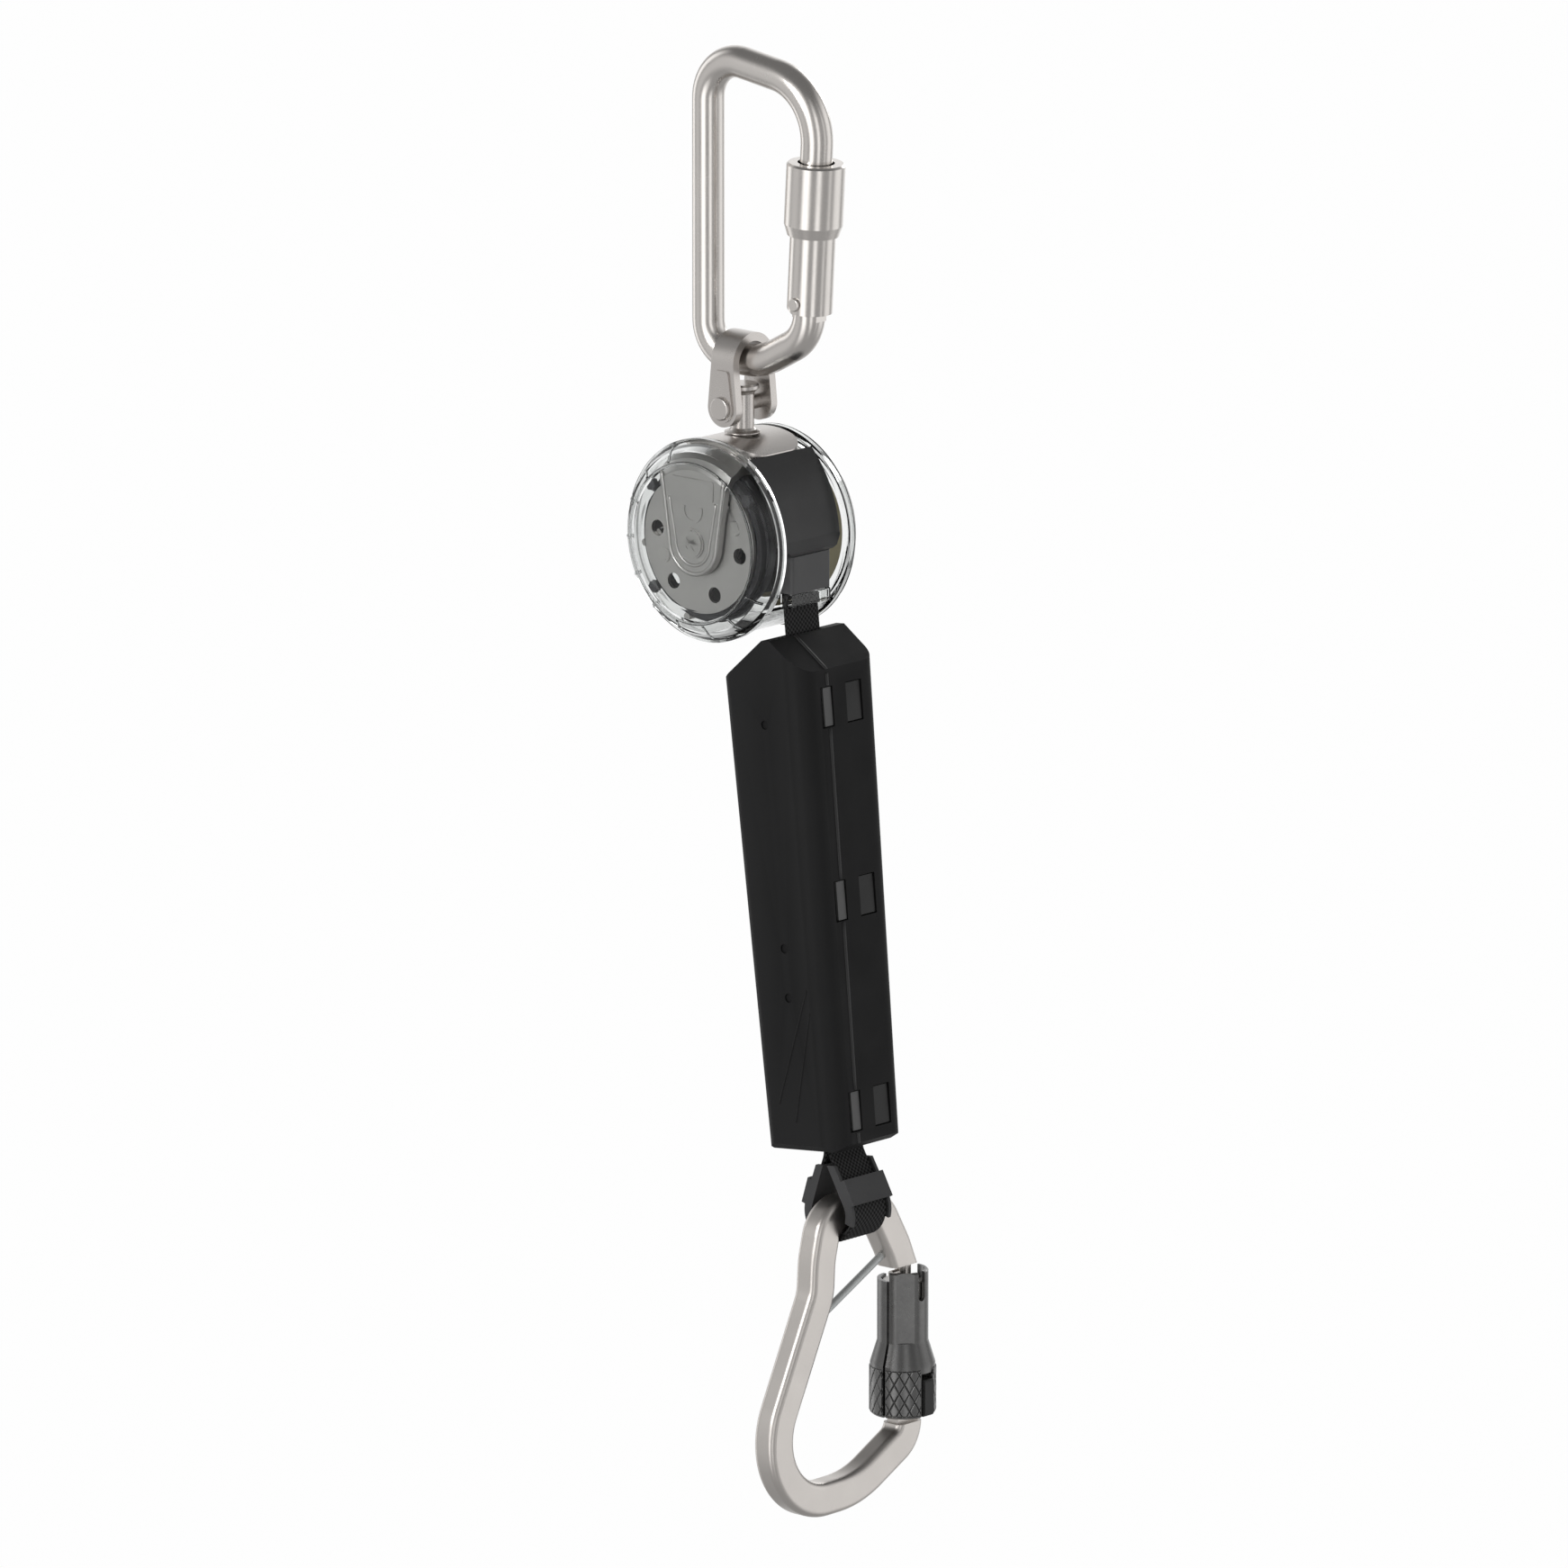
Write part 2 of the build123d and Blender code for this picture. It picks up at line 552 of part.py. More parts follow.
for name, angle in (("pawl_a", PAWL_PHASE), ("pawl_b", PAWL_PHASE + 180)):
    with BuildPart() as pawl:
        pivot = Vector(PAWL_PIVOT_R, 0).rotate(Axis.Z, angle)
        tip = Vector(PAWL_PIVOT_R + 1.0, -8.4).rotate(Axis.Z, angle)
        with BuildSketch(drum_plane(-16.9)):
            with Locations((pivot.X, pivot.Y)):
                Circle(2.7)
            with Locations((tip.X, tip.Y)):
                Circle(0.8)
            make_hull()
            with Locations((pivot.X, pivot.Y)):
                Circle(1.45 + FIT, mode=Mode.SUBTRACT)
        extrude(amount=3.0)
    save(pawl, name)

with BuildPart() as pawl_pins:
    for angle in (PAWL_PHASE, PAWL_PHASE + 180):
        spot = Vector(PAWL_PIVOT_R, 0).rotate(Axis.Z, angle)
        bar(Plane(origin=(spot.X, -16.5, DRUM_Z + spot.Y), z_dir=(0, -1, 0)), 1.45, 5.2)
        bar(Plane(origin=(spot.X, DISC_FRONT, DRUM_Z + spot.Y), z_dir=(0, -1, 0)), 2.6, 0.3)
        bar(Plane(origin=(spot.X, -16.3, DRUM_Z + spot.Y), z_dir=(0, -1, 0)), 2.3, 0.4)
save(pawl_pins, "pawl_pins")

# ---------------------------------------------------------------- webbing and energy absorber
tilt = radians(CHAIN_LEAN)
line_down = Vector(sin(tilt), 0, -cos(tilt))
line_out = Vector(cos(tilt), 0, sin(tilt))


def on_line(down, out=0.0, across=0.0):
    """A point measured down the line from the housing's exit, outwards from it, and along Y."""
    return EXIT + line_down * down + line_out * out + Vector(0, across, 0)


def line_side(across=0.0):
    """The plane of the line's side view: x outwards, y up the line, normal to the front."""
    return Plane(origin=on_line(0, 0, across), x_dir=line_out, z_dir=(0, -1, 0))


line_front = Plane(origin=EXIT, x_dir=(0, 1, 0), z_dir=line_out)   # x along Y, y up the line

with BuildPart() as web_lead:
    start_x = ROLL_R + GAP
    lead = [(start_x, DRUM_Z), (start_x + WEB_T, DRUM_Z),
            (EXIT.X + WEB_T / 2, EXIT.Z), (EXIT.X - WEB_T / 2, EXIT.Z)]
    extrude(outline(lead, Plane.XZ), amount=WEB_HALF, both=True)
save(web_lead, "web_lead")

with BuildPart() as web_line:
    block(line_side(), (-WEB_T / 2, WEB_T / 2), (-CASE_TOP + 0.4, -0.4), WEB_HALF)
save(web_line, "web_line")

RIDGE_OUT = 2.2           # half width of the case's ridge about the web
CASE_WALL = 2.2
CASE_EDGE_R = 4.5
CASE_NEAR_R = 8.0         # the broad corner between the front and the +X face
foot_half = CASE_TAPER * CASE_WIDTH / 2
case_left = CASE_OFFSET - CASE_WIDTH / 2
case_right = CASE_OFFSET + CASE_WIDTH / 2


def long_edges(form):
    """The case's long edges, the one between the front and the +X face first."""
    edges = form.edges().filter_by(lambda edge: abs((edge % 0.5).dot(line_down)) > 0.99 and edge.length > 100)
    return edges.sort_by(lambda edge: (edge @ 0.5).Y - (edge @ 0.5).dot(line_out))


def case_solid(inset, mode=Mode.ADD):
    """The absorber case's outer form, or its hollow when inset by a wall."""
    top = CASE_TOP + inset
    bottom = CASE_BOTTOM - inset
    side = [(-RIDGE_OUT + 0.4, -top), (RIDGE_OUT - 0.4, -top), (case_right - inset, -CASE_SHOULDER + 3.5),
            (CASE_OFFSET + foot_half - inset, -bottom + 2), (CASE_OFFSET + foot_half - inset - 3, -bottom),
            (CASE_OFFSET - foot_half + inset + 2, -bottom), (CASE_OFFSET - foot_half + inset, -bottom + 2),
            (case_left + inset, -CASE_SHOULDER)]
    half_top = CASE_DEPTH / 2 - inset
    half_foot = CASE_TAPER * CASE_DEPTH / 2 - inset
    front = [(-half_top, -CASE_TOP), (half_top, -CASE_TOP), (half_foot, -bottom + 3.5),
             (half_foot - 3.5, -bottom), (-half_foot + 2, -bottom), (-half_foot, -bottom + 2)]
    with BuildPart(mode=Mode.PRIVATE) as form:
        extrude(outline(side, line_side(0)), amount=CASE_DEPTH, both=True)
        extrude(outline(front, line_front), amount=60, both=True, mode=Mode.INTERSECT)
        fillet(long_edges(form)[1:], CASE_EDGE_R - inset)
        fillet(long_edges(form)[0], CASE_NEAR_R - inset)
    add(form.part, mode=mode)


def latch_windows(depth, mode=Mode.SUBTRACT):
    """The snap windows on the +X face: one column on the seam and one by the far corner."""
    for row in LATCH_ROWS:
        shrink = (row - CASE_SHOULDER) * (1 - CASE_TAPER) / (CASE_BOTTOM - CASE_SHOULDER) * CASE_WIDTH / 2
        face = case_right - shrink
        plane = Plane(origin=on_line(row, face), x_dir=(0, 1, 0), z_dir=line_out)
        block(plane, (SEAM_Y - 3.0, SEAM_Y + 3.0), (-7, 7), depth, mode)
        block(plane, (3, 11), (-7, 7), depth, mode)


DIMPLE_ROWS = (39, 116, 133)   # shallow moulding marks down the middle of the front face
for name, other_half in (("absorber_front_shell", SEAM_Y + 50), ("absorber_rear_shell", SEAM_Y - 50)):
    with BuildPart() as shell:
        case_solid(0)
        case_solid(CASE_WALL, Mode.SUBTRACT)
        block(line_side(other_half), (-60, 60), (-250, 60), 50 + 0.05, Mode.SUBTRACT)
        latch_windows(1.5)
        block(line_side(), (-1.2, 1.2), (-CASE_TOP - 8, -CASE_TOP + 5), WEB_HALF + 0.6, Mode.SUBTRACT)
        block(line_side(), (-2.4, 2.4), (-CASE_BOTTOM - 5, -CASE_BOTTOM + 8), 9.4, Mode.SUBTRACT)
        for row in DIMPLE_ROWS:
            front = CASE_DEPTH / 2 * (1 - (1 - CASE_TAPER) * (row - CASE_TOP) / (CASE_BOTTOM - CASE_TOP))
            dimple = Plane(origin=on_line(row, CASE_OFFSET, -front + 0.5), z_dir=(0, -1, 0))
            bar(dimple, 1.6, 2, Mode.SUBTRACT)
    save(shell, name)

with BuildPart() as absorber_latches:
    for row in LATCH_ROWS:
        shrink = (row - CASE_SHOULDER) * (1 - CASE_TAPER) / (CASE_BOTTOM - CASE_SHOULDER) * CASE_WIDTH / 2
        face = case_right - shrink
        plane = Plane(origin=on_line(row, face - 1.0), x_dir=(0, 1, 0), z_dir=line_out)
        block(plane, (SEAM_Y - 1.2, SEAM_Y + 2.8), (-6.6, 6.6), 0.4)
        block(plane, (3.3, 10.7), (-6.6, 6.6), 0.4)
save(absorber_latches, "absorber_latches")

with BuildPart() as tear_web_pack:
    block(line_side(0), (CASE_OFFSET - 11, CASE_OFFSET + 11), (-CASE_BOTTOM + 16, -CASE_SHOULDER - 8), 12)
    fillet(tear_web_pack.edges().filter_by(Axis.Y), 4)
save(tear_web_pack, "tear_web_pack")

# ---------------------------------------------------------------- loop round the lower carabiner
bow = on_line(BOW_DOWN)
APEX = 18.6               # from the bow's centre up to where the two strands meet
APEX_GAP = 0.6
GUARD_IN = 7.7
GUARD_OUT = 8.7
LOOP_OUT = 10.2
RAIL_OUT = 11.0
GUARD_HALF = 9.9
RELIEF_START = 22         # degrees below the level through the bow's centre


def loop_plane(y):
    """A plane across the bow's bar at a given Y, facing the front, y up the line."""
    return Plane(origin=bow + Vector(0, y, 0), x_dir=line_out, z_dir=(0, -1, 0))


def teardrop(radius, apex_radius, y_high, depth, mode=Mode.ADD):
    """A drop shape round the bow, drawn up to where the strands meet."""
    with BuildSketch(loop_plane(y_high)) as drop:
        Circle(radius)
        with Locations((0, APEX)):
            Circle(apex_radius)
        make_hull()
    extrude(drop.sketch, amount=depth, mode=mode)


def bow_relief():
    """Clear the corners where the carabiner's bar turns down, over its whole swing."""
    side = Vector(30 * cos(radians(RELIEF_START)), -30 * sin(radians(RELIEF_START)))
    wedge = [(0, 0), (side.X, side.Y), (side.X, -30), (-side.X, -30), (-side.X, side.Y)]
    for near_y in (-6.8, 28.4):
        extrude(outline(wedge, loop_plane(near_y)), amount=20, mode=Mode.SUBTRACT)


with BuildPart() as connector_web_loop:
    teardrop(LOOP_OUT, LOOP_OUT - GUARD_OUT + APEX_GAP, WEB_HALF, 2 * WEB_HALF)
    teardrop(GUARD_OUT + 0.05, APEX_GAP, WEB_HALF + 1, 2 * WEB_HALF + 2, Mode.SUBTRACT)
    bow_relief()
    block(line_side(), (-WEB_T, WEB_T), (-BOW_DOWN + APEX + 1.2, -CASE_BOTTOM + 16), WEB_HALF)
save(connector_web_loop, "connector_web_loop")

BAND_LOW = 3.4            # cross bands, measured up from the bow's centre
BAND_TALL = 9.4
BAND_T = 1.1
with BuildPart() as loop_guard:
    teardrop(GUARD_OUT, 0.5, WEB_HALF + 0.05, 2 * WEB_HALF + 0.1)
    for edge in (WEB_HALF + 0.05, -GUARD_HALF):
        y_high = edge + (GUARD_HALF - WEB_HALF - 0.05) if edge > 0 else -WEB_HALF - 0.05
        teardrop(RAIL_OUT, 3.0, y_high, GUARD_HALF - WEB_HALF - 0.05)
    teardrop(GUARD_IN, 0.1, GUARD_HALF + 1, 2 * GUARD_HALF + 2, Mode.SUBTRACT)
    strand = atan2(RAIL_OUT - 3.0, APEX)
    for side in (-1, 1):
        foot = Vector(side * (RAIL_OUT + 0.35) / cos(strand), 0)
        along = Vector(-side * sin(strand), cos(strand))
        out = Vector(side * cos(strand), sin(strand))
        low = foot + along * BAND_LOW
        high = foot + along * (BAND_LOW + BAND_TALL)
        plate = [low, high, high + out * BAND_T, low + out * BAND_T]
        skirt = [low - out * 0.8, high - out * 0.8, high, low]
        extrude(outline([(p.X, p.Y) for p in plate], loop_plane(0)), amount=GUARD_HALF, both=True)
        for y_high in (GUARD_HALF, -WEB_HALF - 0.05):
            skirt_face = outline([(p.X, p.Y) for p in skirt], loop_plane(y_high))
            extrude(skirt_face, amount=GUARD_HALF - WEB_HALF - 0.05)
    block(loop_plane(0), (-30, 30), (APEX - 1.8, 40), 30, Mode.SUBTRACT)
    bow_relief()
save(loop_guard, "loop_guard")

# ---------------------------------------------------------------- lower carabiner
lower_face = Plane(origin=(LOWER_X, 0, 0), x_dir=(0, 1, 0), z_dir=(1, 0, 0))
lower_gate_face = Plane(origin=(LOWER_X, LOWER_GATE_Y, 0), x_dir=(0, 1, 0), z_dir=(1, 0, 0))
NOSE_CUT_Z = -408.6
CAPTIVE_R = 1.35
captive_start = Vector(LOWER_X, 21.6, -401.9)
captive_end = Vector(LOWER_X, -17.0, -421.3)
captive_length = (captive_end - captive_start).length
TANG_TOP_Z = -464.6
LOWER_TANG_HALF = 2.5


def lower_spot(x, y, z):
    """A point given from the lower carabiner's plane."""
    return Vector(LOWER_X + x, y, z)


with BuildPart() as lower_carabiner_body:
    with BuildLine(lower_face) as lower_route:
        FilletPolyline(
            (27.2, -413.0),
            (22.3, -401.5),
            (12.5, -384.6),
            (-12.2, -384.6),
            (-16.0, -400.0),
            (-16.6, -411.5),
            (-51.9, -483.8),
            (2.0, -483.2),
            (LOWER_GATE_Y, -469.5),
            (LOWER_GATE_Y, -460.0),
            radius=[25, 13, 9.5, 30, 18, 23.6, 40, 9],
        )
    with BuildSketch(Plane(origin=lower_route.line @ 0, x_dir=(1, 0, 0), z_dir=lower_route.line % 0)):
        RectangleRounded(LOWER_THICK, LOWER_WIDTH, 2.3)
    sweep(path=lower_route.line)
    block(lower_face, (10, 45), (TANG_TOP_Z, NOSE_CUT_Z), 20, Mode.SUBTRACT)
    bar(Plane(origin=lower_spot(0, LOWER_GATE_Y, NOSE_CUT_Z + 1.5), z_dir=(0, 0, -1)), LOWER_NECK_R, 8.6)
    bar(Plane(origin=lower_spot(0, LOWER_GATE_Y + 2, -411.8), z_dir=(0, -1, 0)), 1.2, 8.2)
    with BuildSketch(lower_face) as lower_tang:
        with Locations((LOWER_GATE_Y, LOWER_PIVOT_Z)):
            Circle(5.0)
        with Locations((LOWER_GATE_Y, (LOWER_PIVOT_Z + TANG_TOP_Z - 2) / 2)):
            Rectangle(10, LOWER_PIVOT_Z - TANG_TOP_Z + 2)
    extrude(lower_tang.sketch, amount=LOWER_TANG_HALF, both=True)
    bar(Plane(origin=lower_spot(20, LOWER_GATE_Y, LOWER_PIVOT_Z), z_dir=(-1, 0, 0)), 1.5, 40, Mode.SUBTRACT)
    bar(Plane(origin=captive_start, z_dir=captive_end - captive_start), CAPTIVE_R + 0.02, captive_length,
        Mode.SUBTRACT)
save(lower_carabiner_body, "lower_carabiner_body")

with BuildPart() as captive_bar:
    bar(Plane(origin=captive_start, z_dir=captive_end - captive_start), CAPTIVE_R, captive_length)
save(captive_bar, "captive_bar")

with BuildPart() as lower_gate_pin:
    bar(Plane(origin=lower_spot(7.0, LOWER_GATE_Y, LOWER_PIVOT_Z), z_dir=(-1, 0, 0)), 1.48, 14.0)
save(lower_gate_pin, "lower_gate_pin")


def gate_axis_plane(z, up=1):
    """A level plane on the lower gate's axis."""
    return Plane(origin=lower_spot(0, LOWER_GATE_Y, z), x_dir=(1, 0, 0), z_dir=(0, 0, up))


GATE_HEAD_Z = -414.6
with BuildPart() as lower_gate:
    bar(gate_axis_plane(-459.6), LOWER_CORE, GATE_HEAD_Z + 459.6)
    fillet(lower_gate.edges().group_by(Axis.Z)[-1], 0.8)
    block(lower_gate_face, (-LOWER_NECK_R - 0.6, 12), (-417.4, -410), LOWER_NECK_R + 0.4, Mode.SUBTRACT)
    block(lower_gate_face, (-12, 12), (-462, -450.6), LOWER_TANG_HALF + 0.15, Mode.SUBTRACT)
    bar(Plane(origin=lower_spot(20, LOWER_GATE_Y, LOWER_PIVOT_Z), z_dir=(-1, 0, 0)), 1.48 + FIT, 40,
        Mode.SUBTRACT)
    bar(gate_axis_plane(-451), 2.0, 15, Mode.SUBTRACT)
save(lower_gate, "lower_gate")

with BuildPart() as lower_gate_plunger:
    bar(gate_axis_plane(-451.7), 1.8, 4.0)
    fillet(lower_gate_plunger.edges().group_by(Axis.Z)[0], 0.5)
save(lower_gate_plunger, "lower_gate_plunger")

with BuildPart() as lower_gate_spring:
    coil(gate_axis_plane(-447.3), 1.4, 0.3, 7, 10.6)
save(lower_gate_spring, "lower_gate_spring")

SLIT_TURN = -83           # degrees about the gate from +X, towards +Y positive
with BuildPart() as lower_sleeve:
    turned([(LOWER_BORE, LOWER_SLEEVE_TOP), (8.3, LOWER_SLEEVE_TOP), (8.8, LOWER_SLEEVE_TOP - 0.5),
            (8.8, -435.7), (11.2, -443.5), (11.2, LOWER_SLEEVE_BOTTOM + 0.6), (10.6, LOWER_SLEEVE_BOTTOM),
            (LOWER_BORE, LOWER_SLEEVE_BOTTOM)],
           Plane(origin=lower_spot(0, LOWER_GATE_Y, 0), x_dir=(1, 0, 0), z_dir=(0, -1, 0)))
    nose_way = [(0, 0), (0, 14), (-14, 14), (-14, 0)]
    extrude(outline(nose_way, gate_axis_plane(-418.5)), amount=12, mode=Mode.SUBTRACT)
    low_top = [(0, 0), (14 * cos(radians(SLIT_TURN)), 14 * sin(radians(SLIT_TURN))), (-14, -14), (-14, 0.1)]
    extrude(outline(low_top, gate_axis_plane(-414.0)), amount=12, mode=Mode.SUBTRACT)
    slit = Plane(origin=lower_spot(0, LOWER_GATE_Y, -440), x_dir=(0, 0, 1),
                 z_dir=(cos(radians(SLIT_TURN)), sin(radians(SLIT_TURN)), 0))
    block(slit.offset(9.9), (-30, 40), (-0.5, 0.5), 1.8, Mode.SUBTRACT)
    flat = Plane(origin=lower_spot(0, LOWER_GATE_Y, -426), x_dir=(0, 0, 1), z_dir=(cos(radians(-42)),
                 sin(radians(-42)), 0))
    block(flat.offset(9.2), (-9.5, 16), (-6, 6), 1.0, Mode.SUBTRACT)
    with BuildSketch(Plane(origin=lower_spot(5, LOWER_GATE_Y, 0), x_dir=(0, 1, 0), z_dir=(1, 0, 0))) as sight:
        with Locations((0, -415.5)):
            SlotOverall(11, 3.2, rotation=90)
    extrude(sight.sketch, amount=10, mode=Mode.SUBTRACT)
    trigger_way = Plane(origin=lower_spot(10, LOWER_GATE_Y, -455), x_dir=(0, 1, 0), z_dir=(1, 0, 0))
    block(trigger_way, (-2.5, 2.5), (-8, 9), 5, Mode.SUBTRACT)
save(lower_sleeve, "lower_sleeve")

with BuildPart() as sleeve_trigger:
    block(Plane(origin=lower_spot(10.5, LOWER_GATE_Y, -454.4), x_dir=(0, 1, 0), z_dir=(1, 0, 0)), (-2.2, 2.2),
          (-6.6, 6.4), 1.8)
    fillet(sleeve_trigger.edges().filter_by(Axis.Y).group_by(Axis.X)[-1], 1.2)
save(sleeve_trigger, "sleeve_trigger")
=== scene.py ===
from math import atan2, cos, pi, radians, sin

import bmesh
import bpy
from mathutils import Matrix, Vector


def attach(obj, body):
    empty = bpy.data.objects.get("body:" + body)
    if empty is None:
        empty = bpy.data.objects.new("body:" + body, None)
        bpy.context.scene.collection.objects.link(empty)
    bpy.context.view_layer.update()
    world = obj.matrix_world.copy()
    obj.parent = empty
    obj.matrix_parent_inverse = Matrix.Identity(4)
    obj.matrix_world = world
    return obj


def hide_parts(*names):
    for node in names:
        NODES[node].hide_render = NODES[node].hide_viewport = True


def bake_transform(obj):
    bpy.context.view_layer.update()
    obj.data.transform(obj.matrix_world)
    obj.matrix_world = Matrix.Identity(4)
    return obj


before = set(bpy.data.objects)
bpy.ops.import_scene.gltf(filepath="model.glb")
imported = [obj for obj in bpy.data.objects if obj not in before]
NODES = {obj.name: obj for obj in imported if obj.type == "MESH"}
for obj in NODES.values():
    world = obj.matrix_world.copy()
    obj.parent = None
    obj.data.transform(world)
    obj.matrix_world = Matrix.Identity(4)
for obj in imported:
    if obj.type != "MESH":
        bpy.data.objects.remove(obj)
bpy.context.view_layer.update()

MM = 0.001

# ---------------------------------------------------------------- places shared with the CAD, in mm
DRUM_Z = -156.2                             # height of the drum's axis
EXIT = Vector((26.3, 0.0, -177.0))          # where the webbing leaves the housing
LEAN = radians(6.0)                         # the line's lean from plumb
DOWN = Vector((sin(LEAN), 0.0, -cos(LEAN)))
OUT = Vector((cos(LEAN), 0.0, sin(LEAN)))
BOW_DOWN = 208.7                            # from the exit to the lower carabiner's bow
BOW = EXIT + DOWN * BOW_DOWN
ROLL_EDGE = 25.0                            # radius where the webbing leaves the roll
WEB_HALF = 8.5                              # half the webbing's width
STRIP_HALF = WEB_HALF - 0.05
STRIP_T = 1.05
WEAVE_PITCH = 1.8
WEAVE_DEPTH = 0.08
FRONT = Vector((0.0, -1.0, 0.0))
FRAME_FRONT = -24.62                        # feet of the load frame's ribs, front and back
FRAME_BACK = 22.58
HUB_FRONT = -25.08                          # foot of the cross on the hub
GATE_X = 48.1                               # the lower sleeve's axis
GATE_Y = 28.1
PACK_OUT = -3.5                             # middle of the case, outwards from the line
CASE_TOP = 10.0                             # down the line: the case's top and shoulder, its seam
CASE_SHOULDER = 21.0
SEAM_START = 22.5
SEAM_END = 184.0
CASE_LENGTH = 176.0
CASE_TAPER = 0.11                           # share of the half sizes lost over the length
CASE_HALF_X = 18.5
CASE_HALF_Y = 18.98
CASE_FACE = 15.0                            # the +X face at the shoulder, outwards from the line
RIDGE_OUT = 1.9                             # the roof's ridge, outwards from the line
SEAM_Y = -6.0
LATCHES = (34, 100.5, 173)                  # latch windows down the line
LATCH_HALF = 7.4


def on_line(down, out=0.0, across=0.0):
    """A point down the webbing from the exit, outwards from it, and along Y, in mm."""
    return EXIT + DOWN * down + OUT * out + Vector((0.0, across, 0.0))


# ---------------------------------------------------------------- node helpers
def node(tree, kind, **values):
    """A shader node with its settings and plain input values."""
    made = tree.nodes.new(kind)
    for key, value in values.items():
        if hasattr(made, key):
            setattr(made, key, value)
        else:
            made.inputs[key.replace("_", " ")].default_value = value
    return made


def wire(tree, *sockets):
    """Links the sockets in pairs."""
    for source, target in zip(sockets[::2], sockets[1::2]):
        tree.links.new(source, target)


def math(tree, operation, a, b=None):
    """A math node on sockets or numbers; returns its output."""
    made = tree.nodes.new("ShaderNodeMath")
    made.operation = operation
    for place, value in zip(made.inputs, (a, b)):
        if value is None:
            continue
        if isinstance(value, (int, float)):
            place.default_value = value
        else:
            tree.links.new(value, place)
    return made.outputs[0]


def remap(tree, value, low, high, to_low=0.0, to_high=1.0):
    """A clamped map of a socket from one range to another."""
    made = tree.nodes.new("ShaderNodeMapRange")
    made.clamp = True
    for place, number in zip(made.inputs[1:5], (low, high, to_low, to_high)):
        place.default_value = number
    tree.links.new(value, made.inputs[0])
    return made.outputs[0]


def noise(tree, where, scale, detail=3.0, roughness=0.55):
    """Noise at a scale per metre; returns its value."""
    made = node(tree, "ShaderNodeTexNoise", Scale=scale, Detail=detail, Roughness=roughness)
    tree.links.new(where, made.inputs["Vector"])
    return made.outputs[0]


def blend_colours(tree, factor, a, b):
    """A mix of two colours, each a socket or three numbers."""
    made = tree.nodes.new("ShaderNodeMix")
    made.data_type = "RGBA"
    for place, value in ((made.inputs[6], a), (made.inputs[7], b)):
        if isinstance(value, (tuple, list)):
            place.default_value = (*value, 1.0)
        else:
            tree.links.new(value, place)
    tree.links.new(factor, made.inputs[0])
    return made.outputs[2]


def bump(tree, height, distance, strength):
    """A bump from a height socket; returns the normal."""
    made = node(tree, "ShaderNodeBump", Strength=strength, Distance=distance)
    tree.links.new(height, made.inputs["Height"])
    return made.outputs[0]


def start(name, **values):
    """A new material: (material, tree, Principled node, object coordinates)."""
    made = bpy.data.materials.new(name)
    made.use_nodes = True
    tree = made.node_tree
    shader = tree.nodes["Principled BSDF"]
    for key, value in values.items():
        shader.inputs[key.replace("_", " ")].default_value = value
    where = tree.nodes.new("ShaderNodeTexCoord").outputs["Object"]
    return made, tree, shader, where


def metal(name, dark, light, rough, grain=900.0, relief=0.00003, wear=0.0, metallic=1.0):
    """Satin metal: clouded colour, blasted grain, brighter worn edges."""
    made, tree, shader, where = start(name, Metallic=metallic)
    cloud = noise(tree, where, scale=38.0, detail=3.0)
    colour = blend_colours(tree, remap(tree, cloud, low=0.2, high=0.8), dark, light)
    if wear:
        edge = tree.nodes.new("ShaderNodeNewGeometry").outputs["Pointiness"]
        patches = remap(tree, noise(tree, where, scale=300.0), low=0.3, high=0.6)
        worn = math(tree, "MULTIPLY", remap(tree, edge, low=0.52, high=0.62), patches)
        worn = math(tree, "MULTIPLY", worn, wear)
        colour = blend_colours(tree, worn, colour, tuple(min(1.0, 1.35 * x + 0.06) for x in light))
    fine = noise(tree, where, grain, detail=2.0, roughness=0.7)
    handled = noise(tree, where, scale=90.0, detail=2.0)
    broad = remap(tree, handled, low=0.2, high=0.8, to_low=rough - 0.025, to_high=rough + 0.025)
    grainy = remap(tree, fine, low=0.3, high=0.7, to_low=-0.03, to_high=0.03)
    roughness = math(tree, "ADD", broad, grainy)
    wire(tree, colour, shader.inputs["Base Color"], roughness, shader.inputs["Roughness"],
         bump(tree, fine, relief, strength=0.6), shader.inputs["Normal"])
    return made


def plastic(name, dark, light, rough, grain=1400.0, relief=0.00004, wear=0.3, shine=0.25):
    """Moulded plastic: fine spark-eroded grain, faint colour clouds, rubbed edges."""
    made, tree, shader, where = start(name, Specular_IOR_Level=shine)
    cloud = noise(tree, where, scale=25.0, detail=4.0)
    colour = blend_colours(tree, remap(tree, cloud, low=0.3, high=0.7), dark, light)
    edge = tree.nodes.new("ShaderNodeNewGeometry").outputs["Pointiness"]
    rubbed = math(tree, "MULTIPLY", remap(tree, edge, low=0.52, high=0.64), wear)
    colour = blend_colours(tree, rubbed, colour, tuple(2.2 * x + 0.01 for x in light))
    fine = noise(tree, where, grain, detail=3.0, roughness=0.7)
    handled = noise(tree, where, scale=70.0, detail=5.0)
    roughness = remap(tree, handled, low=0.3, high=0.7, to_low=rough - 0.05, to_high=rough + 0.06)
    wire(tree, colour, shader.inputs["Base Color"], roughness, shader.inputs["Roughness"],
         bump(tree, fine, relief, strength=0.5), shader.inputs["Normal"])
    return made


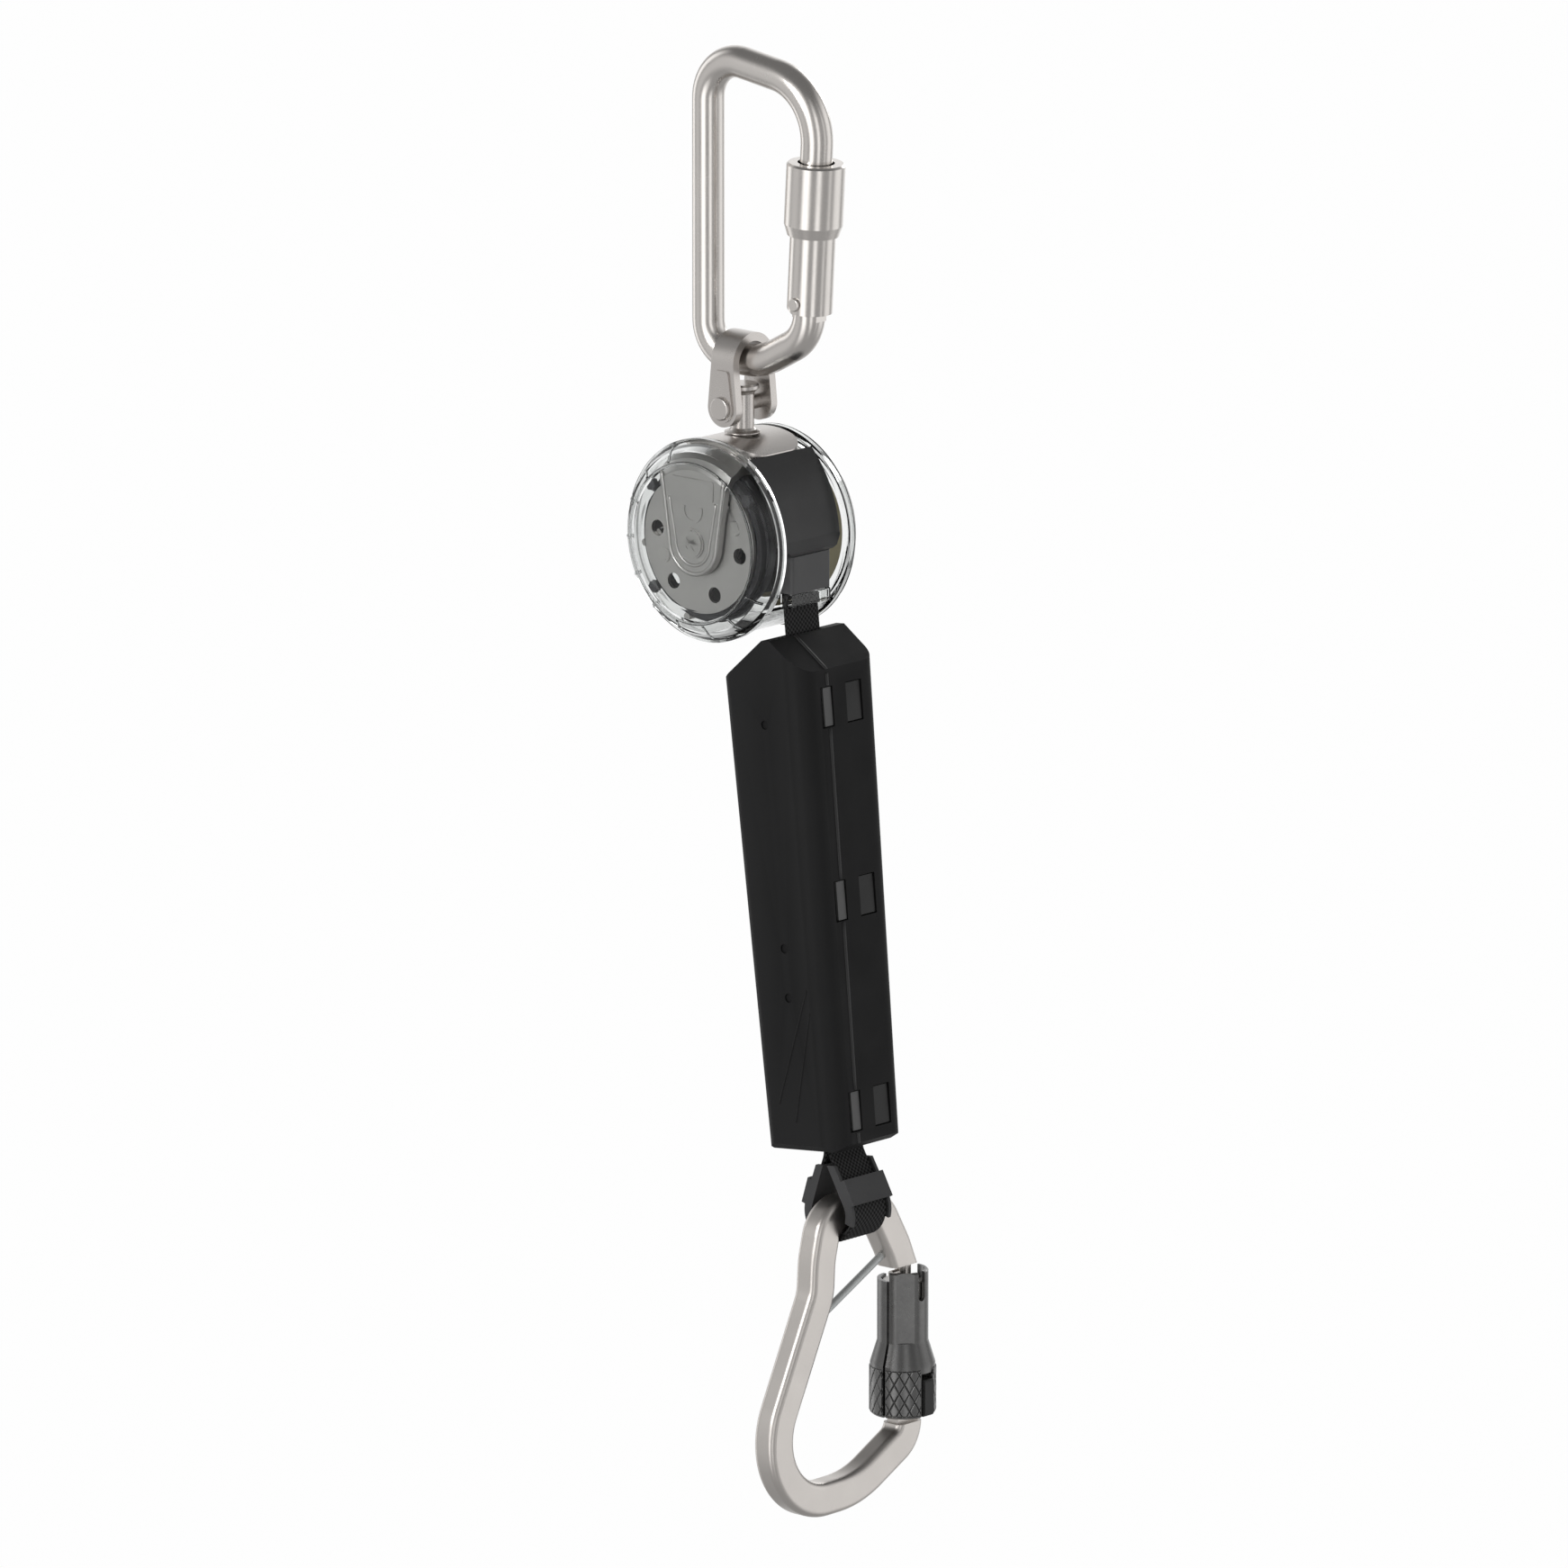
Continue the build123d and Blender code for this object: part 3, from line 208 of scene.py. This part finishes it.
def clear(name, tint, rough):
    """Clear polycarbonate that lets the lamps through to what it shuts in."""
    made, tree, shader, where = start(name, Transmission_Weight=1.0, IOR=1.3, Base_Color=(*tint, 1.0))
    ripple = noise(tree, where, scale=60.0, detail=2.0)
    scuff = noise(tree, where, scale=420.0, detail=5.0, roughness=0.7)
    scuffed = remap(tree, scuff, low=0.5, high=0.75, to_low=rough, to_high=rough + 0.12)
    wire(tree, scuffed, shader.inputs["Roughness"],
         bump(tree, ripple, distance=0.0004, strength=0.35), shader.inputs["Normal"])
    through = tree.nodes.new("ShaderNodeBsdfTransparent")
    through.inputs[0].default_value = (0.9, 0.9, 0.9, 1.0)
    pick = tree.nodes.new("ShaderNodeMixShader")
    shadow = tree.nodes.new("ShaderNodeLightPath").outputs["Is Shadow Ray"]
    out = tree.nodes["Material Output"]
    wire(tree, shadow, pick.inputs[0], shader.outputs[0], pick.inputs[1],
         through.outputs[0], pick.inputs[2], pick.outputs[0], out.inputs["Surface"])
    return made


def webbing(name, dark, light):
    """Woven fibre webbing, read from the strip's own UV in metres: u across, v along."""
    made, tree, shader, where = start(name, Roughness=0.7, Specular_IOR_Level=0.12)
    uv = tree.nodes.new("ShaderNodeUVMap")
    parts = tree.nodes.new("ShaderNodeSeparateXYZ")
    wire(tree, uv.outputs[0], parts.inputs[0])
    turn = 2 * pi / (WEAVE_PITCH * MM)
    across = math(tree, "MULTIPLY", parts.outputs[0], turn)
    along = math(tree, "MULTIPLY", parts.outputs[1], turn)
    weave = math(tree, "MULTIPLY", math(tree, "SINE", across), math(tree, "SINE", along))
    fibre = node(tree, "ShaderNodeTexNoise", Scale=6000.0, Detail=2.0)
    wire(tree, where, fibre.inputs["Vector"])
    fuzz = math(tree, "MULTIPLY", fibre.outputs[0], 0.25)
    height = math(tree, "ADD", remap(tree, weave, low=-1.0, high=1.0), fuzz)
    colour = blend_colours(tree, remap(tree, height, low=0.25, high=1.0), dark, light)
    wire(tree, colour, shader.inputs["Base Color"],
         bump(tree, height, distance=0.00025, strength=0.9), shader.inputs["Normal"])
    return made


STEEL = metal("upper_connector_steel", (0.62, 0.59, 0.565), (0.67, 0.64, 0.61), 0.24,
              grain=2600.0, relief=0.000006)
SHACKLE = metal("shackle_steel", (0.53, 0.50, 0.48), (0.58, 0.555, 0.53), 0.30,
                grain=2600.0, relief=0.000008)
FRAME = metal("frame_steel", (0.46, 0.45, 0.44), (0.53, 0.52, 0.505), 0.36, grain=2200.0, relief=0.00001)
FIXING = metal("fixing_steel", (0.46, 0.45, 0.44), (0.56, 0.55, 0.53), 0.3)
SPRING = metal("spring_steel", (0.30, 0.30, 0.31), (0.42, 0.42, 0.44), 0.3)
BRONZE = metal("bush_bronze", (0.42, 0.29, 0.14), (0.55, 0.40, 0.21), 0.42)
ALUMINIUM = metal("aluminium_body", (0.55, 0.52, 0.495), (0.60, 0.57, 0.54), 0.34,
                  grain=2600.0, relief=0.000012)
CAPTIVE = metal("captive_bar_zinc", (0.48, 0.5, 0.495), (0.56, 0.58, 0.575), 0.45, metallic=0.4)
GUNMETAL = metal("gunmetal_sleeve", (0.10, 0.10, 0.10), (0.14, 0.138, 0.135), 0.30, wear=0.3, metallic=0.85)
GATE = metal("gate_steel", (0.34, 0.33, 0.32), (0.45, 0.44, 0.42), 0.33, wear=0.4)
COVER = clear("clear_cover", (0.80, 0.81, 0.805), 0.02)
BAND = plastic("black_band", (0.008, 0.008, 0.0083), (0.012, 0.012, 0.0125), 0.36, shine=0.35)
NOZZLE = plastic("nozzle_grey", (0.04, 0.04, 0.041), (0.055, 0.055, 0.056), 0.42)
INNER = plastic("inner_dark", (0.02, 0.02, 0.022), (0.035, 0.035, 0.038), 0.4)
OLIVE = plastic("spring_case_olive", (0.14, 0.125, 0.075), (0.2, 0.18, 0.115), 0.45)
CASE = plastic("case_plastic", (0.0075, 0.0075, 0.0077), (0.0102, 0.0102, 0.0105), 0.5, shine=0.1)
SEAM = plastic("seam_plastic", (0.015, 0.015, 0.0152), (0.021, 0.021, 0.0213), 0.4, shine=0.3)
LATCH = plastic("latch_grey", (0.058, 0.058, 0.058), (0.072, 0.072, 0.072), 0.45)
GUARD = plastic("guard_elastomer", (0.02, 0.02, 0.0205), (0.034, 0.034, 0.035), 0.5, relief=0.00007)
TRIGGER = plastic("trigger_black", (0.006, 0.006, 0.006), (0.011, 0.011, 0.011), 0.35)
WEB = webbing("black_webbing", (0.001, 0.001, 0.001), (0.045, 0.045, 0.0455))

LOOKS = {
    STEEL: ["upper_carabiner_body", "upper_gate", "upper_sleeve", "upper_gate_rivet"],
    SHACKLE: ["shackle", "shackle_pin", "swivel_stud", "swivel_washer", "swivel_nut", "top_plate"],
    FRAME: ["load_frame", "pawl_disc"],
    FIXING: ["drum_shaft", "shaft_screw", "pawl_pins", "pawl_a", "pawl_b", "web_anchor_pin",
             "cover_screws"],
    COVER: ["front_cover", "rear_cover", "exit_guard"],
    BAND: ["side_band"],
    NOZZLE: ["web_nozzle"],
    INNER: ["ratchet_ring", "drum_front_flange", "drum_rear_flange", "drum_core", "spring_arbor",
            "cover_posts"],
    BRONZE: ["front_bushing", "rear_bushing"],
    OLIVE: ["spring_case"],
    SPRING: ["power_spring", "upper_gate_spring", "upper_gate_plunger", "upper_sleeve_spring",
             "lower_gate_spring", "lower_gate_plunger"],
    CASE: ["absorber_front_shell", "absorber_rear_shell"],
    LATCH: ["absorber_latches"],
    GUARD: ["loop_guard"],
    ALUMINIUM: ["lower_carabiner_body"],
    CAPTIVE: ["captive_bar"],
    GATE: ["lower_gate", "lower_gate_pin"],
    GUNMETAL: ["lower_sleeve"],
    TRIGGER: ["sleeve_trigger"],
    WEB: ["web_roll", "web_lead", "web_line", "connector_web_loop", "tear_web_pack"],
}
for look, names in LOOKS.items():
    for name in names:
        NODES[name].data.materials.clear()
        NODES[name].data.materials.append(look)


# painted shade: the far column of latches, on the side turned from the camera and the key light, is painted
# darker than the near one
latch_tree = LATCH.node_tree
latch_shader = latch_tree.nodes["Principled BSDF"]
latch_side = latch_tree.nodes.new("ShaderNodeSeparateXYZ")
wire(latch_tree, latch_tree.nodes["Texture Coordinate"].outputs["Object"], latch_side.inputs[0])
near_column = latch_shader.inputs["Base Color"].links[0].from_socket
far_shade_mask = remap(latch_tree, latch_side.outputs[1], low=0.0, high=0.0005)
# painted shade colour for the far column
far_shade_colour = (0.016, 0.016, 0.016)
wire(latch_tree, blend_colours(latch_tree, far_shade_mask, near_column, far_shade_colour),
     latch_shader.inputs["Base Color"])


# ---------------------------------------------------------------- mesh helpers
def mesh_object(name, points, faces, look, uvs=None):
    """A smooth mesh object from points in mm, with a UV for each point if given."""
    data = bpy.data.meshes.new(name)
    data.from_pydata([tuple(p * MM) for p in points], [], faces)
    if uvs:
        layer = data.uv_layers.new(name="UVMap")
        for loop in data.loops:
            layer.data[loop.index].uv = uvs[loop.vertex_index]
    for polygon in data.polygons:
        polygon.use_smooth = True
    data.materials.append(look)
    made = bpy.data.objects.new(name, data)
    bpy.context.scene.collection.objects.link(made)
    return made


def weave_height(u, v):
    """Relief of a plain weave in mm, for a point u across and v along the strip."""
    return WEAVE_DEPTH * sin(2 * pi * u / WEAVE_PITCH) * sin(2 * pi * v / WEAVE_PITCH)


def strip(name, path, normals, half_width, thickness, step=0.28, woven=True):
    """A webbing strip: its middle follows path, in mm, and its faces look along the normals."""
    rounding = 0.45           # width of the rounded edge
    edge_share = 0.35         # share of the thickness that is left at the edge
    back_uv = 40              # keeps the back's UV clear of the front's
    lengths = [0.0]
    for a, b in zip(path, path[1:]):
        lengths.append(lengths[-1] + (b - a).length)
    rows = max(2, int(lengths[-1] / step))
    columns = max(4, int(2 * half_width / step))
    points, uvs, section = [], [], []
    for i in range(columns + 1):
        section.append((-half_width + 2 * half_width * i / columns, 1))
    for i in range(columns + 1):
        section.append((half_width - 2 * half_width * i / columns, -1))
    place = 0
    for row in range(rows + 1):
        reach = lengths[-1] * row / rows
        while place < len(path) - 2 and lengths[place + 1] < reach:
            place += 1
        share = (reach - lengths[place]) / max(1e-9, lengths[place + 1] - lengths[place])
        middle = path[place].lerp(path[place + 1], share)
        normal = normals[place].lerp(normals[place + 1], share).normalized()
        for across, face in section:
            round_edge = min(1.0, (half_width - abs(across)) / rounding)
            lift = thickness / 2 * (edge_share + (1 - edge_share) * round_edge ** 0.5)
            if woven:
                lift += weave_height(across, reach * face) * round_edge
            points.append(middle + Vector((0.0, across, 0.0)) + normal * (face * lift))
            uvs.append(((across + (back_uv if face < 0 else 0)) * MM, reach * MM))
    count = len(section)
    faces = []
    for row in range(rows):
        for i in range(count):
            a, b = row * count + i, row * count + (i + 1) % count
            faces.append((a, b, b + count, a + count))
    faces.append(tuple(range(count - 1, -1, -1)))
    faces.append(tuple(rows * count + i for i in range(count)))
    return mesh_object(name, points, faces, WEB, uvs)


# ---------------------------------------------------------------- webbing from the drum to the absorber
lead_top = Vector((ROLL_EDGE, 0.0, DRUM_Z))
lead_path = [lead_top.lerp(EXIT, t / 12) for t in range(13)] + [on_line(0.6 * t) for t in range(1, 4)]
lead_normals = [Vector((1.0, 0.0, 0.06))] * 13 + [OUT] * 3
lead = strip("lead_webbing", lead_path, lead_normals, STRIP_HALF, STRIP_T)
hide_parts("web_lead")
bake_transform(lead)

drop_path = [on_line(1.5 + 9.5 * t / 20) for t in range(21)]
drop = strip("hanging_webbing", drop_path, [OUT] * 21, STRIP_HALF, STRIP_T)
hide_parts("web_line")
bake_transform(drop)


# ---------------------------------------------------------------- the winding on the drum
def winding():
    """Twelve and a half turns of webbing on the hub, as one spiral strip."""
    turns = 12.5
    inner, outer = 9.75, 23.45
    steps = 900
    path, normals = [], []
    for i in range(steps + 1):
        angle = 2 * pi * turns * i / steps
        radius = inner + (outer - inner) * i / steps
        ray = Vector((cos(angle + pi), 0.0, sin(angle + pi)))
        path.append(Vector((0.0, 0.0, DRUM_Z)) + ray * radius)
        normals.append(ray)
    made = strip("wound_webbing", path, normals, WEB_HALF - 0.1, 1.0, step=1.6, woven=False)
    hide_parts("web_roll")
    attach(made, "drum")


winding()


# ---------------------------------------------------------------- folded tear webbing in the case
def tear_pack():
    """Tear webbing folded back and forth across the case."""
    path, normals = [], []
    folds = 30
    low, high = 168.0, 34.5
    fold_half, bulge = 8, 2.1
    for i in range(folds):
        down = high + (low - high) * i / (folds - 1)
        side = 1 if i % 2 == 0 else -1
        for t in range(9):
            path.append(on_line(down, PACK_OUT + side * fold_half * (t / 4 - 1)))
            normals.append(DOWN * side)
        if i < folds - 1:
            drop_by = (low - high) / (folds - 1)
            for t in range(1, 6):
                angle = pi * t / 6
                out = PACK_OUT + side * (fold_half + bulge * sin(angle))
                path.append(on_line(down + drop_by * (1 - cos(angle)) / 2, out))
                normals.append((DOWN * cos(angle) + OUT * sin(angle)) * side)
    made = strip("folded_tear_webbing", path, normals, 11.0, 1.6, step=1.2, woven=False)
    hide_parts("tear_web_pack")
    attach(made, "absorber")


tear_pack()


# ---------------------------------------------------------------- loop round the lower connector
def loop_webbing():
    """The webbing loop: out of the case, down one strand, round the bow and back up."""
    apex, big, small = 18.6, 9.45, 1.55
    tail_out = 0.7
    lean = atan2(big - small, apex)
    path, normals = [], []

    def add(x, y, nx, ny):
        path.append(BOW + OUT * x - DOWN * y)
        normals.append(OUT * nx - DOWN * ny)

    def strand(side, share):
        radius = small + (big - small) * share
        add(side * radius * cos(lean), radius * sin(lean) + apex * (1 - share), side * cos(lean), sin(lean))

    for height in range(38, 20, -2):
        add(tail_out, height, 1.0, 0.0)
    for t in range(11):
        strand(1, t / 10)
    for t in range(1, 41):
        angle = lean - (pi + 2 * lean) * t / 40
        add(big * cos(angle), big * sin(angle), cos(angle), sin(angle))
    for t in range(1, 11):
        strand(-1, 1 - t / 10)
    for height in range(22, 40, 2):
        add(-tail_out, height, -1.0, 0.0)
    made = strip("connector_loop_webbing", path, normals, STRIP_HALF, 1.35, step=0.26)
    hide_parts("connector_web_loop")
    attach(made, "absorber")


loop_webbing()


# ---------------------------------------------------------------- knurl on the foot of the lower sleeve
def knurl():
    """A diamond knurl on the sleeve's foot, left open at the slit and the trigger."""
    radius, top, bottom = 11.15, -444.4, -460.8
    lines, slope, tooth, flank = 10, 0.5, 0.38, 3.2
    fade_rows = 4
    open_arcs = ((radians(-15), radians(15)), (radians(-87), radians(-79)))
    columns, rows = 600, 110
    points, faces, depths = [], [], []
    for row in range(rows + 1):
        z = top + (bottom - top) * row / rows
        fade = min(1.0, row / fade_rows, (rows - row) / fade_rows)
        for column in range(columns):
            angle = 2 * pi * column / columns
            left = abs(sin(lines * angle + slope * z))
            right = abs(sin(lines * angle - slope * z))
            stands = min(1.0, flank * left, flank * right) * fade
            r = radius + tooth * stands
            depths.append(1.0 - stands)
            points.append(Vector((GATE_X + r * cos(angle), GATE_Y + r * sin(angle), z)))
    for row in range(rows):
        for column in range(columns):
            angle = 2 * pi * (column + 0.5) / columns
            signed = angle - 2 * pi if angle > pi else angle
            if any(low < signed < high for low, high in open_arcs):
                continue
            a, b = row * columns + column, row * columns + (column + 1) % columns
            faces.append((a, a + columns, b + columns, b))
    made = mesh_object("sleeve_knurl", points, faces, KNURLED)
    groove = made.data.attributes.new("groove", "FLOAT", "POINT")
    groove.data.foreach_set("value", depths)
    bm = bmesh.new()
    bm.from_mesh(made.data)
    bmesh.ops.delete(bm, geom=[v for v in bm.verts if not v.link_faces], context="VERTS")
    bm.to_mesh(made.data)
    bm.free()
    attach(made, "lower_sleeve")


# painted shade: the knurl's grooves are painted darker than its raised faces, as the shade that falls in
# them
KNURLED = metal("knurled_gunmetal", (0.13, 0.13, 0.13), (0.18, 0.178, 0.175), 0.3, metallic=0.85)
knurled_tree = KNURLED.node_tree
knurled_shader = knurled_tree.nodes["Principled BSDF"]
groove_depth = node(knurled_tree, "ShaderNodeAttribute", attribute_name="groove").outputs["Fac"]
raised_colour = knurled_shader.inputs["Base Color"].links[0].from_socket
groove_shade_mask = remap(knurled_tree, groove_depth, low=0.25, high=0.8)
# painted shade colour at the bottom of the grooves
groove_shade_colour = (0.012, 0.012, 0.012)
wire(knurled_tree, blend_colours(knurled_tree, groove_shade_mask, raised_colour, groove_shade_colour),
     knurled_shader.inputs["Base Color"])
knurl()


# ---------------------------------------------------------------- raised lines
def bead(name, path, normals, half_width, height, look, body):
    """A low rounded rib along a path in mm, standing on the surface along the normals."""
    section = [(-1.0, -0.25), (-0.85, 0.45), (-0.5, 0.88), (0.0, 1.0),
               (0.5, 0.88), (0.85, 0.45), (1.0, -0.25)]
    points, faces = [], []
    for i, (middle, normal) in enumerate(zip(path, normals)):
        ahead = (path[min(i + 1, len(path) - 1)] - path[max(i - 1, 0)]).normalized()
        across = ahead.cross(normal).normalized()
        for x, y in section:
            points.append(middle + across * (x * half_width) + normal.normalized() * (y * height))
    count = len(section)
    for row in range(len(path) - 1):
        for i in range(count):
            a, b = row * count + i, row * count + (i + 1) % count
            faces.append((a, b, b + count, a + count))
    faces.append(tuple(range(count - 1, -1, -1)))
    faces.append(tuple((len(path) - 1) * count + i for i in range(count)))
    made = mesh_object(name, points, faces, look)
    bm = bmesh.new()
    bm.from_mesh(made.data)
    bmesh.ops.recalc_face_normals(bm, faces=bm.faces)
    bm.to_mesh(made.data)
    bm.free()
    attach(made, body)


def between(a, b, steps):
    """Points from a to b."""
    return [a.lerp(b, t / steps) for t in range(steps + 1)]


def seam():
    """The rib along the split of the two shells, over the roof and down the +X face."""
    ridge = on_line(CASE_TOP, RIDGE_OUT, SEAM_Y)
    shoulder = on_line(CASE_SHOULDER, CASE_FACE, SEAM_Y)
    foot = on_line(SEAM_END, CASE_FACE - CASE_HALF_X * CASE_TAPER, SEAM_Y)
    roof = (shoulder - ridge).normalized()
    roof_normal = Vector((-roof.z, 0.0, roof.x))
    if roof_normal.dot(OUT) < 0:
        roof_normal = -roof_normal
    half, height = 0.75, 0.42
    bead("case_roof_rib", between(ridge, shoulder, 8), [roof_normal] * 9, half, height, SEAM, "absorber")
    starts = [SEAM_START] + [down + LATCH_HALF for down in LATCHES]
    stops = [down - LATCH_HALF for down in LATCHES] + [SEAM_END]
    for number, spans in enumerate(zip(starts, stops)):
        ends = []
        for down in spans:
            ends.append(shoulder.lerp(foot, (down - CASE_SHOULDER) / (SEAM_END - CASE_SHOULDER)))
        bead(f"case_seam_rib_{number}", between(*ends, 12), [OUT] * 13, half, height, SEAM, "absorber")


seam()


def crease(name, top, bottom):
    """A faint moulded crease on the front face of the case; ends as (down, out)."""
    ends = []
    for down, out in (top, bottom):
        half = CASE_HALF_Y * (1 - CASE_TAPER * (down - CASE_TOP) / CASE_LENGTH)
        ends.append(on_line(down, out, -half))
    bead(name, between(*ends, 12), [FRONT] * 13, 0.35, 0.16, CASE, "absorber")


crease("case_crease_a", (130.0, 5.0), (170.0, -12.0))
crease("case_crease_b", (138.0, 5.5), (176.0, -5.0))


def frame_point(x, z, y):
    """A point on one of the load frame's flat faces, from the drum axis."""
    return Vector((x, y, DRUM_Z + z))


def frame_relief():
    """Pressed ribs of the load frame: arches round the hub, front and back, and a cross on the hub."""
    # the arch's name and radius, height and half spread of its ends, its face, and the rib's section
    for name, radius, top, spread, y, half, height in (
        ("frame_outer_rib", 10.6, 23.0, 14.0, FRAME_FRONT, 0.8, 0.5),
        ("frame_inner_rib", 7.6, 15.0, 10.6, FRAME_FRONT, 0.6, 0.4),
        ("frame_back_rib", 9.4, 20.0, 12.6, FRAME_BACK, 0.7, 0.24),
    ):
        angles = [pi + pi * t / 24 for t in range(25)]
        path = between(frame_point(-spread, top, y), frame_point(-radius, 0, y), 12)[:-1]
        path += [frame_point(radius * cos(a), radius * sin(a), y) for a in angles]
        path += between(frame_point(radius, 0, y), frame_point(spread, top, y), 12)[1:]
        facing = FRONT if y < 0 else -FRONT
        bead(name, path, [facing] * len(path), half, height, FRAME, "housing")
    cross_half = 4.6
    hub = frame_point(0.0, 0.0, HUB_FRONT)
    for name, angle in (("hub_cross_a", 0.785), ("hub_cross_b", 2.356)):
        ray = Vector((cos(angle), 0.0, sin(angle))) * cross_half
        bead(name, between(hub - ray, hub + ray, 6), [FRONT] * 7, 0.45, 0.22, FRAME, "housing")


frame_relief()


def cover_point(radius, angle):
    """A point on the outside of the front cover's dome, from its turned profile."""
    rim = ((0.0, -27.3), (23.0, -27.1), (27.5, -26.2), (31.5, -23.4), (34.0, -19.8))
    for (r0, y0), (r1, y1) in zip(rim, rim[1:]):
        if radius <= r1:
            y = y0 + (y1 - y0) * (radius - r0) / (r1 - r0)
            break
    return Vector((radius * cos(angle), y, DRUM_Z + radius * sin(angle)))


def cover_lines():
    """Moulded lines of the clear front cover: a ring and short spokes over the slope."""
    ring_r, spoke_r = 27.6, 28.4
    ring = [cover_point(ring_r, pi / 3 + 2 * pi * t / 96) for t in range(97)]
    bead("cover_ring", ring, [FRONT] * len(ring), 0.5, 0.35, COVER, "housing")
    for number in range(10):
        angle = radians(112 + 24 * number)
        spoke = [cover_point(spoke_r + 0.8 * t, angle) for t in range(7)]
        slope = Vector((0.7 * cos(angle), -0.7, 0.7 * sin(angle)))
        bead(f"cover_spoke_{number}", spoke, [slope] * len(spoke), 0.55, 0.4, COVER, "housing")


cover_lines()

# ---------------------------------------------------------------- floor, light and camera
# the photo's view: its right and up, from the fit of the photo, and the middle of the picture
RIGHT = Vector((0.743, 0.669, 0.0))
UP = Vector((-0.1505, 0.1672, 0.974))
BACK = RIGHT.cross(UP).normalized()
CENTRE = (RIGHT * 13.94 - UP * 237.7) * MM
DISTANCE = 6.0
SENSOR = 36.0
PICTURE_WIDTH = 0.528
bpy.context.scene.view_settings.view_transform = "Standard"

# the floor glows white for the camera alone; it neither lights the object nor shows in it
stage_look, stage_tree, stage_shader, _ = start("pale_floor", Roughness=0.9)
stage_shader.inputs["Base Color"].default_value = (0.4, 0.4, 0.4, 1.0)
glow = node(stage_tree, "ShaderNodeEmission", Strength=1.0)
glow.inputs[0].default_value = (0.99, 0.99, 0.99, 1.0)
seen = stage_tree.nodes.new("ShaderNodeMixShader")
wire(stage_tree, stage_tree.nodes.new("ShaderNodeLightPath").outputs["Is Camera Ray"], seen.inputs[0],
     stage_shader.outputs[0], seen.inputs[1], glow.outputs[0], seen.inputs[2],
     seen.outputs[0], stage_tree.nodes["Material Output"].inputs["Surface"])
floor_at = (0, 0, -1.95)
bpy.ops.mesh.primitive_grid_add(x_subdivisions=4, y_subdivisions=4, size=80, location=floor_at)
floor = bpy.context.object
floor.name = "studio_floor"
floor.data.materials.append(stage_look)
floor.visible_glossy = False
floor.visible_diffuse = False
floor.visible_transmission = False

LEVEL_BACK = Vector((BACK.x, BACK.y, 0.0)).normalized()


def toward(azimuth, elevation):
    """A direction from the object, in degrees: right of the camera, and up from level."""
    turn, rise = radians(azimuth), radians(elevation)
    return (LEVEL_BACK * cos(turn) + RIGHT * sin(turn)) * cos(rise) + Vector((0, 0, sin(rise)))


# upright softboxes round the object: azimuth, inner and outer half width in degrees, and strength
SOFTBOXES = (
    (-36, 9, 18, 1.5),
    (14, 5, 11, 1.1),
    (60, 3, 7, 0.6),
    (100, 13, 24, 0.75),
    (-84, 10, 22, 0.3),
    (-125, 8, 16, 1.1),
    (170, 18, 40, 0.7),
)
AMBIENT = 0.43            # even light from all round
OVERHEAD = -0.22          # what it loses straight above
FADE = (0.35, 0.75)       # the rise between which the softboxes end
world = bpy.data.worlds.new("studio")
bpy.context.scene.world = world
world.use_nodes = True
sky = world.node_tree
direction = node(sky, "ShaderNodeSeparateXYZ")
wire(sky, sky.nodes.new("ShaderNodeTexCoord").outputs["Generated"], direction.inputs[0])
x_part, y_part, z_part = direction.outputs
level = math(sky, "SQRT", math(sky, "ADD", math(sky, "MULTIPLY", x_part, x_part),
                               math(sky, "MULTIPLY", y_part, y_part)))
bars = None
for azimuth, inner, outer, strength in SOFTBOXES:
    aim = toward(azimuth, 0)
    facing = math(sky, "ADD", math(sky, "MULTIPLY", x_part, aim.x), math(sky, "MULTIPLY", y_part, aim.y))
    facing = math(sky, "DIVIDE", facing, level)
    box_light = remap(sky, facing, cos(radians(outer)), cos(radians(inner)), 0.0, strength)
    bars = box_light if bars is None else math(sky, "ADD", bars, box_light)
height_fade = remap(sky, math(sky, "ABSOLUTE", z_part), FADE[1], FADE[0])
brightness = math(sky, "ADD", math(sky, "MULTIPLY", bars, height_fade), AMBIENT)
brightness = math(sky, "ADD", brightness, remap(sky, z_part, FADE[0], FADE[1], 0.0, OVERHEAD))
camera_ray = sky.nodes.new("ShaderNodeLightPath").outputs["Is Camera Ray"]
plain = math(sky, "MULTIPLY", brightness, math(sky, "SUBTRACT", 1.0, camera_ray))
wire(sky, math(sky, "ADD", plain, camera_ray), sky.nodes["Background"].inputs[1])
sky.nodes["Background"].inputs[0].default_value = (1.0, 1.0, 1.0, 1.0)


def area_light(name, where, size, power):
    """A square soft light aimed at the middle of the object."""
    data = bpy.data.lights.new(name, "AREA")
    data.size = size
    data.energy = power
    data.specular_factor = 0.35
    made = bpy.data.objects.new(name, data)
    made.location = where
    made.rotation_mode = "QUATERNION"
    made.rotation_quaternion = (Vector(where) - CENTRE).to_track_quat("Z", "Y")
    bpy.context.scene.collection.objects.link(made)


area_light("key_light", CENTRE + BACK * 1.6 - RIGHT * 1.7 + UP * 0.6, size=0.8, power=16)
area_light("rim_light", CENTRE - BACK * 1.5 + RIGHT * 0.9 + UP * 1.0, size=0.8, power=5)

camera_data = bpy.data.cameras.new("camera")
camera_data.sensor_width = SENSOR
camera_data.lens = SENSOR * DISTANCE / PICTURE_WIDTH
camera_data.clip_end = 200.0
camera = bpy.data.objects.new("camera", camera_data)
camera.location = CENTRE + BACK * DISTANCE
camera.rotation_mode = "QUATERNION"
camera.rotation_quaternion = Matrix((RIGHT, UP, BACK)).transposed().to_quaternion()
bpy.context.scene.collection.objects.link(camera)
bpy.context.scene.camera = camera
